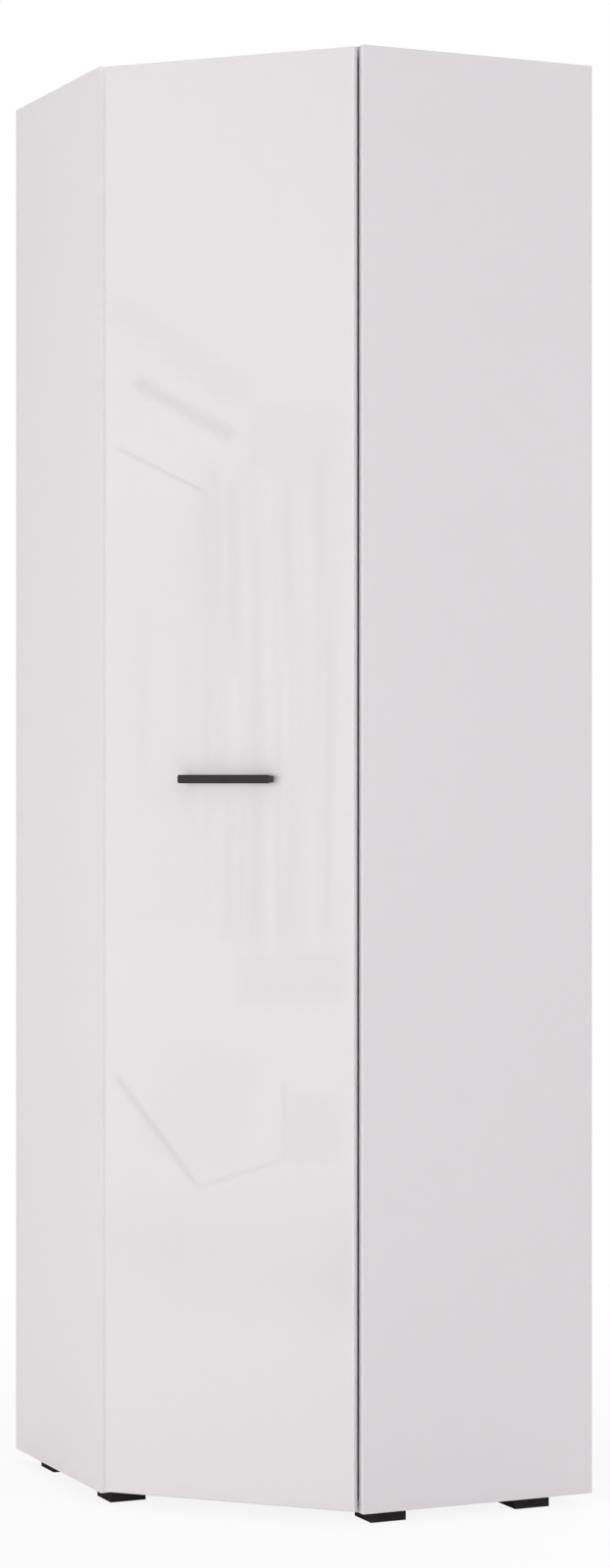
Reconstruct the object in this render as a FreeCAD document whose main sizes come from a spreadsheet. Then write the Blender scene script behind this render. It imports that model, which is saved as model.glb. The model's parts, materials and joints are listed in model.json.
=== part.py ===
"""Corner wardrobe with one diagonal door on four concealed 45 degree hinges.

Millimetres. The floor is Z = 0, the origin is under the middle of the square footprint, the room corner
is at -X +Y and the door faces +X -Y. Every size is a cell of the sheet "sizes".
"""
import FreeCAD
import Part
import Sketcher
import math
import os
import re

# Driving sizes
SIZES = {
    # Overall and boards
    "footprint": 660,
    "side_depth": 371,
    "panel_height": 2096,
    "board": 16,
    "back_board": 3,
    "edge_round": 0.8,
    "hat_space": 340,
    "shelf_setback": 20,
    "post_width": 100,
    # Feet
    "foot_height": 18,
    "foot_width": 56,
    "foot_inset": 20,
    "left_foot_front": 12,
    "right_foot_front": 22,
    "foot_rear_gap": 60,
    "foot_wall": 3,
    "foot_deck": 4,
    "foot_boss": 7,
    "foot_boss_lift": 2,
    "foot_head_room": 0.5,
    # Hanging rail and its brackets
    "rail_radius": 12.5,
    "rail_wall": 1.2,
    "rail_length": 560,
    "rail_drop": 62,
    "rail_back": 288,
    "rail_clearance": 0.05,
    "bracket_inset": 40,
    "bracket_plate_length": 52,
    "bracket_plate_width": 26,
    "bracket_plate": 3,
    "bracket_stem": 20,
    "bracket_web": 6,
    "bracket_ring": 3.5,
    "bracket_screw_pitch": 36,
    # Door, its bumpers and its handle
    "door_board": 16,
    "door_top_reveal": 3,
    "door_bottom_reveal": 4,
    "door_gap": 2.2,
    "door_edge_round": 2,
    "bumper": 2.9,
    "bumper_radius": 5,
    "bumper_clearance": 0.1,
    "bumper_inset": 40,
    "handle_pitch": 128,
    "handle_leg": 13,
    "handle_height": 12.4,
    "handle_reach": 21,
    "handle_bar": 8,
    "handle_corner": 2.5,
    "handle_bevel": 0.6,
    # Hinges: rows, cup and flange
    "hinge_count": 4,
    "hinge_end": 120,
    "cup_radius": 17.5,
    "cup_depth": 11.5,
    "cup_edge": 5,
    "cup_wall": 1,
    "cup_clearance": 0.05,
    "flange": 1,
    "wing_width": 22,
    "wing_length": 62,
    "cup_screw_pitch": 48,
    # Hinge pivots in the closed door's frame
    "outer_cup_x": 10.5,
    "outer_cup_y": -2.6,
    "outer_arm_x": 28,
    "outer_arm_y": 10.2,
    "crank_x": 17.6,
    "crank_y": -6.2,
    "inner_cup_x": 15.1,
    "inner_cup_y": -4.5,
    "inner_arm_x": 33.78,
    "inner_arm_y": -5.64,
    "inner_eye_x": 15.63,
    "inner_eye_y": -5.79,
    # Hinge stack across its width, pins and links
    "inner_link_half": 2.2,
    "inner_ear": 1,
    "outer_plate": 1.2,
    "arm_plate": 1.2,
    "layer_gap": 0.3,
    "outer_pin": 1.2,
    "inner_pin": 1,
    "cup_outer_pin": 1,
    "cup_inner_pin": 0.9,
    "pin_clearance": 0.05,
    "ear_wall": 1.15,
    "eye_play": 1.45,
    "eye_wall": 1.2,
    "outer_link_width": 2.4,
    "crank_width": 2.2,
    "inner_link_width": 1.8,
    "link_tube": 1.4,
    # Hinge arm and mounting plate
    "arm_nose": 3.4,
    "arm_neck": 4.6,
    "arm_body": 6,
    "arm_web": 1,
    "arm_rise": 10,
    "arm_start": 12,
    "arm_end": 52,
    "arm_slot": 5,
    "arm_slot_front": 3,
    "arm_screw_place": 47,
    "plate_row": 37,
    "plate_half_length": 15,
    "plate_clearance": 0.1,
    "plate_wing": 8,
    "plate_wing_thickness": 2,
    "plate_wing_reach": 24,
    "plate_pitch": 32,
    "plate_floor": 3,
    # Fittings and fasteners
    "hole_clearance": 0.05,
    "dowel_radius": 4,
    "dowel_length": 30,
    "dowel_in_side": 10,
    "post_dowel_offset": 25,
    "cam_radius": 7.5,
    "cam_height": 12.5,
    "cam_distance": 34,
    "cam_clearance": 0.1,
    "bolt_radius": 3,
    "bolt_in_side": 11,
    "fitting_from_front": 70,
    "fitting_from_rear": 60,
    "long_screw_radius": 3.4,
    "long_screw_length": 50,
    "long_screw_head": 4.8,
    "long_screw_head_height": 2.5,
    "screw_radius": 1.9,
    "screw_head": 3.4,
    "screw_head_height": 1.2,
    "screw_depth": 11,
    "handle_screw_radius": 2,
    "handle_screw_head": 4,
    "handle_screw_head_height": 2.4,
    "handle_screw_grip": 9,
    "nail_radius": 0.8,
    "nail_length": 20,
    "nail_edge": 60,
    "nail_end": 200,
    # How far a cutting tool runs past a face
    "overshoot": 1,
}

# Sizes and places that follow
DERIVED = {
    "half": "footprint / 2",
    "root_two": "sqrt(2)",
    "front": "side_depth - half",
    "inner": "half - board",
    "rear": "half - back_board",
    "carcass_top": "foot_height + panel_height",
    "bottom_top": "foot_height + board",
    "top_under": "carcass_top - board",
    "shelf_top": "top_under - hat_space",
    "shelf_level": "shelf_top - board",
    "seat": "bumper + bumper_clearance",
    "door_inset": "board / root_two - seat + door_gap * root_two",
    "opening_width": "(footprint - side_depth) * root_two",
    "door_width": "opening_width - 2 * door_inset",
    "door_height": "panel_height - door_top_reveal - door_bottom_reveal",
    "door_base": "foot_height + door_bottom_reveal",
    "corner_x": "board / root_two - door_inset",
    "corner_y": "seat",
    "door_x": "front - (corner_x - corner_y) / root_two",
    "door_y": "-inner - (corner_x + corner_y) / root_two",
    "rail_level": "shelf_level - rail_drop",
    "rail_x": "(front + half) / 2 - (rail_back + board / root_two - seat) / root_two",
    "bracket_place": "rail_length / 2 - bracket_inset",
    "half_handle": "handle_pitch / 2 + handle_leg / 2",
    "cup_x": "cup_edge + cup_radius",
    "hinge_pitch": "(door_height - 2 * hinge_end) / (hinge_count - 1)",
    "ear_start": "inner_link_half + layer_gap",
    "ear_end": "ear_start + inner_ear",
    "link_start": "ear_end + layer_gap",
    "link_end": "link_start + outer_plate",
    "arm_inside": "link_end + layer_gap",
    "arm_outside": "arm_inside + arm_plate",
    "arm_top": "arm_rise + arm_body",
    "plate_height": "arm_top - arm_web * root_two",
    "start_x": "corner_x + (arm_rise - arm_start) / root_two",
    "start_y": "corner_y + (arm_rise + arm_start) / root_two",
    "end_x": "corner_x + (arm_rise - arm_end) / root_two",
    "end_y": "corner_y + (arm_rise + arm_end) / root_two",
    "slot_rear": "arm_end + 2 * arm_body",
    "fitting_front": "front - fitting_from_front",
    "fitting_rear": "-rear + fitting_from_rear",
}

# Flats on small round work: screws, dowels, bolts and pin holes; cams, eyes and bumpers; cups and rings;
# nails
SCREW_SIDES, EYE_SIDES, CUP_SIDES, NAIL_SIDES = 6, 8, 12, 4

X, Y, Z = FreeCAD.Vector(1, 0, 0), FreeCAD.Vector(0, 1, 0), FreeCAD.Vector(0, 0, 1)
DIRECTIONS = {"+x": X, "-x": -X, "+y": Y, "-y": -Y, "+z": Z, "-z": -Z}
OPPOSITE = {"+x": "-x", "-x": "+x", "+y": "-y", "-y": "+y", "+z": "-z", "-z": "+z"}
EASING_SIZE = {"Fillet": "Radius", "Chamfer": "Size"}
ACROSS_DIAGONAL = {"+x": "-y", "-x": "+y", "+y": "-x", "-y": "+x"}
UNTURNED = FreeCAD.Rotation()
DIAGONAL = FreeCAD.Rotation(Z, 45)
HALF_FLAT = 180 / EYE_SIDES
FLAT_FIRST = FreeCAD.Rotation(Z, HALF_FLAT)

doc = FreeCAD.newDocument("corner_wardrobe")
sheet = doc.addObject("Spreadsheet::Sheet", "sizes")
finished = []
holes = {}
serial = [0]


def fill_sheet():
    """Put every size in the sheet under its own name."""
    cells = {name: str(number) for name, number in SIZES.items()}
    cells.update({name: "=" + text for name, text in DERIVED.items()})
    for row, (name, text) in enumerate(cells.items(), 1):
        sheet.set("A%d" % row, name)
        sheet.set("B%d" % row, text)
        sheet.setAlias("B%d" % row, name)
    doc.recompute()


def formula(text):
    """An expression with every size name pointed at the sheet."""
    def point(word):
        name = word.group()
        return "sizes." + name if name in SIZES or name in DERIVED else name
    return re.sub(r"[a-z_]+", point, str(text))


def value(text):
    """The present number of an expression."""
    return float(sheet.evalExpression(formula(text)))


def label(word):
    """A fresh internal name."""
    serial[0] += 1
    return "%s_%d" % (word, serial[0])


def bind(thing, **properties):
    """Tie properties of a document object to the sheet."""
    for path, text in properties.items():
        thing.setExpression(path, formula(text))


def place(thing, x="0", y="0", z="0", rotation=UNTURNED):
    """Set a turn, then tie the position to the sheet."""
    thing.Placement = FreeCAD.Placement(FreeCAD.Vector(value(x), value(y), value(z)), rotation)
    for axis, text in (("x", x), ("y", y), ("z", z)):
        thing.setExpression("Placement.Base." + axis, formula(text))
    return thing


def box(low, extent, rotation=UNTURNED):
    """A block from its low corner and its three lengths."""
    thing = doc.addObject("Part::Box", label("block"))
    bind(thing, Length=extent[0], Width=extent[1], Height=extent[2])
    return place(thing, *low, rotation=rotation)


def cylinder(start, direction, radius, length):
    """A round bar from the centre of its first end."""
    thing = doc.addObject("Part::Cylinder", label("round"))
    bind(thing, Radius=radius, Height=length)
    return place(thing, *start, rotation=FreeCAD.Rotation(Z, DIRECTIONS[direction]))


def rod(start, direction, radius, length, sides=SCREW_SIDES, rotation=UNTURNED):
    """A straight-sided bar from the centre of its first end, its flats at the radius."""
    thing = doc.addObject("Part::Prism", label("rod"))
    thing.Polygon = sides
    bind(thing, Circumradius="(%s) / cos(180 / %d)" % (radius, sides), Height=length)
    return place(thing, *start, rotation=rotation * FreeCAD.Rotation(Z, DIRECTIONS[direction]))


def bar(first, second, radius, low, tall):
    """A flat bar with rounded ends between two upright axes."""
    run = "((%s) - (%s))" % (second[0], first[0])
    rise = "((%s) - (%s))" % (second[1], first[1])
    length = "sqrt(%s ^ 2 + %s ^ 2)" % (run, rise)
    side_x = "(%s) + (%s) * %s / %s" % (first[0], radius, rise, length)
    side_y = "(%s) - (%s) * %s / %s" % (first[1], radius, run, length)
    angle = math.degrees(math.atan2(value(rise), value(run)))
    middle = box((side_x, side_y, low), (length, "2 * (%s)" % radius, tall), FreeCAD.Rotation(Z, angle))
    middle.setExpression("Placement.Rotation.Angle", formula("atan2(%s; %s)" % (rise, run)))
    pieces = [middle]
    end_turn = formula("atan2(%s; %s) + %g deg" % (rise, run, HALF_FLAT))
    for x, y in (first, second):
        end = rod((x, y, low), "+z", radius, tall, EYE_SIDES, FreeCAD.Rotation(Z, angle + HALF_FLAT))
        end.setExpression("Placement.Rotation.Angle", end_turn)
        pieces.append(end)
    return pieces


def fuse(shapes):
    """Several shapes as one solid."""
    thing = doc.addObject("Part::MultiFuse", label("union"))
    thing.Shapes = shapes
    thing.Refine = True
    return thing


def cut(base, tools):
    """A shape less its tools."""
    thing = doc.addObject("Part::Cut", label("cut"))
    thing.Base = base
    thing.Tool = tools[0] if len(tools) == 1 else fuse(tools)
    thing.Refine = True
    return thing


def finish(thing, name):
    """Give a finished piece its name."""
    thing.Label = name
    finished.append(thing)


def group(name, shapes):
    """Separate like pieces that share one name."""
    thing = doc.addObject("Part::Compound", name)
    thing.Links = shapes
    finish(thing, name)


def carried(shape, **where):
    """One plain shape carried to a frame of its own."""
    thing = doc.addObject("Part::Compound", label("carried"))
    thing.Links = [shape]
    return place(thing, **where)


def prism(name, corners, height, eased=()):
    """A padded outline whose corners follow the sheet, with chosen edges rounded or bevelled in turn."""
    body = doc.addObject("PartDesign::Body", name + "_body")
    sketch = body.newObject("Sketcher::SketchObject", name + "_outline")
    plane = [item for item in body.Origin.OriginFeatures if item.Role == "XY_Plane"][0]
    sketch.AttachmentSupport = (plane, [""])
    sketch.MapMode = "FlatFace"
    points = [FreeCAD.Vector(value(x), value(y), 0) for x, y in corners]
    count = len(points)
    for i in range(count):
        sketch.addGeometry(Part.LineSegment(points[i], points[(i + 1) % count]))
    for i in range(count):
        sketch.addConstraint(Sketcher.Constraint("Coincident", i, 2, (i + 1) % count, 1))
    for i, (x, y) in enumerate(corners):
        for kind, text, number in (("DistanceX", x, points[i].x), ("DistanceY", y, points[i].y)):
            index = sketch.addConstraint(Sketcher.Constraint(kind, -1, 1, i, 1, number))
            sketch.setExpression("Constraints[%d]" % index, formula(text))
    tip = body.newObject("PartDesign::Pad", name + "_pad")
    tip.Profile = sketch
    bind(tip, Length=height)
    doc.recompute()
    for chosen, kind, amount in eased:
        edges = ["Edge%d" % (i + 1) for i, edge in enumerate(tip.Shape.Edges) if chosen(edge.BoundBox)]
        easing = body.newObject("PartDesign::" + kind, label(name + "_easing"))
        easing.Base = (tip, edges)
        easing.setExpression(EASING_SIZE[kind], formula(amount))
        body.Tip = easing
        tip = easing
        doc.recompute()
    return body


def near(first, second):
    """Whether two lengths are the same."""
    return abs(first - second) < 0.01


# Fasteners and the holes that they need
def drill(board_name, start, direction, radius, length, sides=SCREW_SIDES, rotation=UNTURNED):
    """Note a hole for a board, clear of the rod that goes in it."""
    hole = rod(start, direction, "(%s) + hole_clearance" % radius, length, sides, rotation)
    holes.setdefault(board_name, []).append(hole)


def swap(point, mirrored):
    """Carry a point of the left half to the right half across the diagonal."""
    x, y, z = point
    return ("-(%s)" % y, "-(%s)" % x, z) if mirrored else point


def turn(direction, mirrored):
    """Carry a direction across the diagonal."""
    return ACROSS_DIAGONAL.get(direction, direction) if mirrored else direction


def shift(point, direction, amount):
    """A point moved along a direction."""
    axis = "xyz".index(direction[1])
    moved = list(point)
    moved[axis] = "(%s) %s (%s)" % (point[axis], direction[0], amount)
    return tuple(moved)


def screw(seat, direction, length, kind="screw"):
    """A screw with its head standing on its seat and its shank running along the direction."""
    head = rod(seat, OPPOSITE[direction], kind + "_head", kind + "_head_height")
    return fuse([head, rod(seat, direction, kind + "_radius", length)])


def way(start, direction, length, kind="screw"):
    """A clearance hole for a screw."""
    return rod(start, direction, kind + "_radius + hole_clearance", length)


# Joints between the side panels and the horizontal boards
HORIZONTALS = {"top_panel": "top_under", "bottom_panel": "foot_height", "hat_shelf": "shelf_level"}
HIDDEN_FACE = {"top_panel": "+z", "bottom_panel": "-z", "hat_shelf": "+z"}
cam_bolts = []
cam_locks = []
dowels = []


def peg(first_board, second_board, face, direction):
    """A dowel across the face between two boards, its direction pointing into the second."""
    back = OPPOSITE[direction]
    rest = "dowel_length - dowel_in_side"
    dowels.append(rod(shift(face, back, "dowel_in_side"), direction, "dowel_radius", "dowel_length"))
    drill(first_board, face, back, "dowel_radius", "dowel_in_side")
    drill(second_board, face, direction, "dowel_radius", rest)


def side_dowel(horizontal, level, mirrored):
    """A dowel midway between the two cam bolts of a joint."""
    side = "right_side_panel" if mirrored else "left_side_panel"
    face = ("(fitting_front + fitting_rear) / 2", "-inner", "(%s) + board / 2" % level)
    peg(side, horizontal, swap(face, mirrored), turn("+y", mirrored))


def side_joint(horizontal, level, mirrored, along):
    """A cam bolt with its lock between a side panel and a horizontal board."""
    side = "right_side_panel" if mirrored else "left_side_panel"
    middle = "(%s) + board / 2" % level
    inward, outward = turn("+y", mirrored), turn("-y", mirrored)
    face = swap((along, "-inner", middle), mirrored)
    bolt_length = "bolt_in_side + cam_distance - cam_radius - cam_clearance"
    cam_bolts.append(rod(shift(face, outward, "bolt_in_side"), inward, "bolt_radius", bolt_length))
    drill(side, face, outward, "bolt_radius", "bolt_in_side")
    drill(horizontal, face, inward, "bolt_radius", "cam_distance")
    hidden = HIDDEN_FACE[horizontal]
    surface = "(%s) + board" % level if hidden == "+z" else level
    centre = swap((along, "-inner + cam_distance", surface), mirrored)
    cam_locks.append(rod(centre, OPPOSITE[hidden], "cam_radius", "cam_height", EYE_SIDES, FLAT_FIRST))
    drill(horizontal, centre, OPPOSITE[hidden], "cam_radius", "cam_height", EYE_SIDES, FLAT_FIRST)


# Rear posts in the room's corner, screwed and doweled end to end, and nailed back boards
POST_SCREWS = (("foot_height", "+z", "bottom_panel", "lower"), ("shelf_top", "-z", "hat_shelf", "lower"),
               ("carcass_top", "-z", "top_panel", "upper"))
long_screws = []
nails = []


def post_fixings(mirrored, hand):
    """Long screws through the horizontal boards and a dowel between shelf and upper post."""
    x, y = "-rear + board / 2", "rear - post_width / 2"
    for level, direction, board_name, height in POST_SCREWS:
        post = "%s_%s_rear_post" % (height, hand)
        start = swap((x, y, level), mirrored)
        seat = shift(start, direction, "long_screw_head_height")
        long_screws.append(screw(seat, direction, "long_screw_length - long_screw_head_height", "long_screw"))
        drill(board_name, start, direction, "long_screw_head", "long_screw_head_height")
        drill(board_name, start, direction, "long_screw_radius", "board")
        inside = shift(start, direction, "board")
        drill(post, inside, direction, "long_screw_radius", "long_screw_length - board")
    face = swap((x, "%s + post_dowel_offset" % y, "shelf_top"), mirrored)
    peg("hat_shelf", "upper_%s_rear_post" % hand, face, "+z")


def nail(hand, board_name, point, mirrored):
    """A nail through a back board, flush with its outer face."""
    start = swap(("-half",) + point, mirrored)
    direction = turn("+x", mirrored)
    nails.append(rod(start, direction, "nail_radius", "nail_length", NAIL_SIDES))
    drill("%s_back_board" % hand, start, direction, "nail_radius", "back_board", NAIL_SIDES)
    inside = shift(start, direction, "back_board")
    drill(board_name, inside, direction, "nail_radius", "nail_length - back_board", NAIL_SIDES)


def back_nails(mirrored, hand):
    """Nails near the corners of a back board, and one into the middle of its top and bottom edges."""
    for height, level in (("lower", "foot_height + nail_end"), ("upper", "carcass_top - nail_end")):
        nail(hand, "%s_side_panel" % hand, ("-half + board / 2", level), mirrored)
        nail(hand, "%s_%s_rear_post" % (height, hand), ("rear - nail_edge", level), mirrored)
    for horizontal in ("top_panel", "bottom_panel"):
        nail(hand, horizontal, ("0", HORIZONTALS[horizontal] + " + board / 2"), mirrored)


# Feet: hollow square cups with a screwed boss
FEET = {
    "left_front_foot": ("front - left_foot_front - foot_width", "-half + foot_inset"),
    "left_rear_foot": ("-half + foot_rear_gap", "-half + foot_inset"),
    "right_front_foot": ("half - foot_inset - foot_width", "-front + right_foot_front"),
    "right_rear_foot": ("half - foot_inset - foot_width", "half - foot_rear_gap - foot_width"),
    "rear_corner_foot": ("-half + foot_rear_gap", "half - foot_rear_gap - foot_width"),
}
foot_screws = []


def foot(name, x, y):
    """One foot, its screw and the screw's hole in the bottom panel."""
    middle_x, middle_y = "(%s) + foot_width / 2" % x, "(%s) + foot_width / 2" % y
    inside = "foot_width - 2 * foot_wall"
    deck = "foot_height - foot_deck"
    block = box((x, y, "0"), ("foot_width", "foot_width", "foot_height"))
    hollow = box(("(%s) + foot_wall" % x, "(%s) + foot_wall" % y, "-overshoot"),
                 (inside, inside, "%s + overshoot" % deck))
    boss = rod((middle_x, middle_y, "foot_boss_lift"), "+z", "foot_boss", "foot_height - foot_boss_lift")
    shell = fuse([cut(block, [hollow]), boss])
    recess = rod((middle_x, middle_y, "0"), "+z", "screw_head + foot_head_room", deck)
    finish(cut(shell, [recess, way((middle_x, middle_y, "0"), "+z", "foot_height + overshoot")]), name)
    foot_screws.append(screw((middle_x, middle_y, deck), "+z", "foot_deck + screw_depth"))
    drill("bottom_panel", (middle_x, middle_y, "foot_height"), "+z", "screw_radius", "screw_depth")


# Hanging rail under the hat shelf, square to the diagonal
RAIL_FRAME = {"x": "rail_x", "y": "-rail_x", "z": "rail_level", "rotation": DIAGONAL}
bracket_screws = []


def hanging_rail():
    """A round tube with open ends."""
    tube = cylinder(("-rail_length / 2", "0", "0"), "+x", "rail_radius", "rail_length")
    bore = cylinder(("-rail_length / 2 - overshoot", "0", "0"), "+x", "rail_radius - rail_wall",
                    "rail_length + 2 * overshoot")
    finish(place(cut(tube, [bore]), **RAIL_FRAME), "hanging_rail")


def rail_bracket(name, middle):
    """A plate under the shelf with a stem and a ring round the rail."""
    under = "rail_drop - bracket_plate"
    plate = box(("%s - bracket_plate_length / 2" % middle, "-bracket_plate_width / 2", under),
                ("bracket_plate_length", "bracket_plate_width", "bracket_plate"))
    stem = box(("%s - bracket_web / 2" % middle, "-bracket_stem / 2", "0"),
               ("bracket_web", "bracket_stem", "rail_drop"))
    ring_start = ("%s - bracket_web / 2" % middle, "0", "0")
    bore_start = ("%s - bracket_web" % middle, "0", "0")
    ring = rod(ring_start, "+x", "rail_radius + bracket_ring", "bracket_web", CUP_SIDES)
    ways = [rod(bore_start, "+x", "rail_radius + rail_clearance", "2 * bracket_web", CUP_SIDES)]
    for sign in "-+":
        along = "%s %s bracket_screw_pitch / 2" % (middle, sign)
        ways.append(way((along, "0", "%s - overshoot" % under), "+z", "bracket_plate + 2 * overshoot"))
        fixing = screw((along, "0", under), "+z", "bracket_plate + screw_depth")
        bracket_screws.append(place(fixing, **RAIL_FRAME))
        point = ("rail_x + (%s) / root_two" % along, "-rail_x + (%s) / root_two" % along, "shelf_level")
        drill("hat_shelf", point, "+z", "screw_radius", "screw_depth", rotation=DIAGONAL)
    finish(place(cut(fuse([plate, stem, ring]), ways), **RAIL_FRAME), name)


# Hinges, in the door's own frame: X along the door from its hinge edge, Y into the wardrobe from its back
DOOR_FRAME = {"x": "door_x", "y": "door_y", "rotation": DIAGONAL}
OUTER_CUP, OUTER_ARM = ("outer_cup_x", "outer_cup_y"), ("outer_arm_x", "outer_arm_y")
INNER_CUP, INNER_ARM = ("inner_cup_x", "inner_cup_y"), ("inner_arm_x", "inner_arm_y")
CRANK, INNER_EYE = ("crank_x", "crank_y"), ("inner_eye_x", "inner_eye_y")
ARM_START, ARM_END = ("start_x", "start_y"), ("end_x", "end_y")
ARM_RUN = ((INNER_ARM, OUTER_ARM, "arm_nose"), (OUTER_ARM, ARM_START, "arm_neck"),
           (ARM_START, ARM_END, "arm_body"))
arm_pins = []
cup_pins = []
cup_screws = []
plate_screws = []
arm_screws = []
door_tools = []


def pin(point, radius, half):
    """A round pin centred on the hinge's middle plane."""
    return cylinder(point + ("-(%s)" % half,), "+z", radius, "2 * (%s)" % half)


def eye(point, radius, half, sides=SCREW_SIDES):
    """A hole for a pin, right through the stack, or the solid round one."""
    return rod(point + ("-(%s)" % half,), "+z", radius, "2 * (%s)" % half, sides)


def ears(point, radius, low, thick):
    """Two ears rising from the cup's floor to a pin."""
    pair = []
    for start in (low, "-(%s) - (%s)" % (low, thick)):
        root = ("%s - (%s)" % (point[0], radius), "cup_wall / 2 - cup_depth", start)
        pair.append(box(root, ("2 * (%s)" % radius, "%s + cup_depth - cup_wall / 2" % point[1], thick)))
        pair.append(rod(point + (start,), "+z", radius, thick, EYE_SIDES, FLAT_FIRST))
    return pair


def hinge_cup():
    """A drilled-in cup with a screwed flange and four ears for the link pins."""
    outer = rod(("cup_x", "flange", "0"), "-y", "cup_radius", "cup_depth + flange", CUP_SIDES)
    wing = box(("cup_x - wing_width / 2", "0", "-wing_length / 2"), ("wing_width", "flange", "wing_length"))
    inside = rod(("cup_x", "flange + overshoot", "0"), "-y", "cup_radius - cup_wall",
                 "cup_depth + flange + overshoot - cup_wall", CUP_SIDES)
    shell = cut(fuse([outer, wing]), [inside])
    pairs = ears(OUTER_CUP, "cup_outer_pin + ear_wall", "arm_inside", "arm_plate")
    pairs += ears(INNER_CUP, "cup_inner_pin + ear_wall", "ear_start", "inner_ear")
    tools = [eye(OUTER_CUP, "cup_outer_pin + pin_clearance", "arm_outside + overshoot"),
             eye(INNER_CUP, "cup_inner_pin + pin_clearance", "ear_end + layer_gap / 2")]
    for sign in "-+":
        start = ("cup_x", "-overshoot", "%s cup_screw_pitch / 2" % sign)
        tools.append(way(start, "+y", "flange + 2 * overshoot"))
    return cut(fuse([shell] + pairs), tools)


def hinge_arm():
    """A folded channel from the mounting plate to the arm pivots in the cup's mouth, slotted for a screw."""
    solid = []
    hollow = []
    for first, second, radius in ARM_RUN:
        solid += bar(first, second, radius, "-arm_outside", "2 * arm_outside")
        moved = [("%s - arm_web" % x, "%s - arm_web" % y) for x, y in (first, second)]
        hollow += bar(moved[0], moved[1], radius, "-arm_inside", "2 * arm_inside")
    slot_low = ("corner_x + (plate_height - slot_rear) / root_two",
                "corner_y + (plate_height + slot_rear) / root_two", "-arm_slot / 2")
    slot_size = ("slot_rear - arm_screw_place + arm_slot_front", "arm_body", "arm_slot")
    tools = [box(slot_low, slot_size, DIAGONAL.inverted()),
             eye(OUTER_ARM, "outer_pin + pin_clearance", "arm_outside + overshoot"),
             eye(INNER_ARM, "inner_pin + pin_clearance", "arm_outside + overshoot")]
    return cut(fuse(solid), hollow + tools)


def outer_link():
    """Two cranked plates joined by a cross tube."""
    plates = []
    for start in ("link_start", "-link_end"):
        plates += bar(OUTER_ARM, CRANK, "outer_link_width", start, "outer_plate")
        plates += bar(CRANK, OUTER_CUP, "crank_width", start, "outer_plate")
    middle = ("(outer_arm_x + crank_x) / 2", "(outer_arm_y + crank_y) / 2")
    tube = eye(middle, "link_tube", "link_end")
    tools = [eye(OUTER_ARM, "outer_pin + pin_clearance", "link_end + overshoot"),
             eye(OUTER_CUP, "cup_outer_pin + pin_clearance", "link_end + overshoot")]
    return cut(fuse(plates + [tube]), tools)


def inner_link():
    """A flat link, close on its arm pin and with play round its cup pin."""
    outline = bar(INNER_ARM, INNER_EYE, "inner_link_width", "-inner_link_half", "2 * inner_link_half")
    outline.append(eye(INNER_EYE, "cup_inner_pin + eye_play + eye_wall", "inner_link_half", EYE_SIDES))
    half = "inner_link_half + overshoot"
    tools = [eye(INNER_ARM, "inner_pin + pin_clearance", half),
             eye(INNER_EYE, "cup_inner_pin + eye_play", half, EYE_SIDES)]
    return cut(fuse(outline), tools)


def mounting_plate(level):
    """A plate with two wings screwed to the left side panel, in the wardrobe's frame."""
    row = "front - plate_row"
    half_width = "(arm_inside - plate_clearance)"
    block = box(("%s - plate_half_length" % row, "-inner", "(%s) - %s" % (level, half_width)),
                ("2 * plate_half_length", "plate_height", "2 * %s" % half_width))
    wings = box(("%s - plate_wing" % row, "-inner", "(%s) - plate_wing_reach" % level),
                ("2 * plate_wing", "plate_wing_thickness", "2 * plate_wing_reach"))
    tools = []
    for sign in "-+":
        point = (row, "-inner", "(%s) %s plate_pitch / 2" % (level, sign))
        top = shift(point, "+y", "plate_wing_thickness")
        tools.append(way(shift(top, "+y", "overshoot"), "-y", "plate_wing_thickness + 2 * overshoot"))
        plate_screws.append(screw(top, "-y", "plate_wing_thickness + screw_depth"))
        drill("left_side_panel", point, "-y", "screw_radius", "screw_depth")
    top = ("front - arm_screw_place", "-inner + arm_top", level)
    tools.append(way(top, "-y", "arm_top - plate_floor"))
    arm_screws.append(screw(top, "-y", "arm_top - plate_floor - overshoot"))
    return cut(fuse([block, wings]), tools)


def hinge(number):
    """One hinge with its pins and screws, and the door's bore for its cup."""
    level = "door_base + hinge_end + %d * hinge_pitch" % (number - 1)
    height = "(%s) - door_base" % level
    finish(place(hinge_cup(), z=level, **DOOR_FRAME), "hinge_%d_cup" % number)
    finish(place(hinge_arm(), z=level, **DOOR_FRAME), "hinge_%d_arm" % number)
    finish(place(outer_link(), z=level, **DOOR_FRAME), "hinge_%d_outer_link" % number)
    finish(place(inner_link(), z=level, **DOOR_FRAME), "hinge_%d_inner_link" % number)
    finish(mounting_plate(level), "hinge_%d_plate" % number)
    for point, radius in ((OUTER_ARM, "outer_pin"), (INNER_ARM, "inner_pin")):
        arm_pins.append(carried(pin(point, radius, "arm_outside"), z=level, **DOOR_FRAME))
    inner_flat = "cup_inner_pin * cos(180 / %d)" % SCREW_SIDES
    cup_pins.append(carried(eye(INNER_CUP, inner_flat, "ear_end"), z=level, **DOOR_FRAME))
    for start in ("link_start", "-arm_outside"):
        stub = cylinder(OUTER_CUP + (start,), "+z", "cup_outer_pin", "arm_outside - link_start")
        cup_pins.append(carried(stub, z=level, **DOOR_FRAME))
    door_tools.append(rod(("cup_x", "overshoot", height), "-y", "cup_radius + cup_clearance",
                          "cup_depth + cup_clearance + overshoot", CUP_SIDES))
    for sign in "-+":
        seat = ("cup_x", "flange", "%s %s cup_screw_pitch / 2" % (height, sign))
        door_tools.append(way(seat, "-y", "flange + screw_depth + hole_clearance"))
        cup_screws.append(place(screw(seat, "-y", "flange + screw_depth"), z="door_base", **DOOR_FRAME))


# Door, handle and bumpers
handle_screws = []


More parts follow.
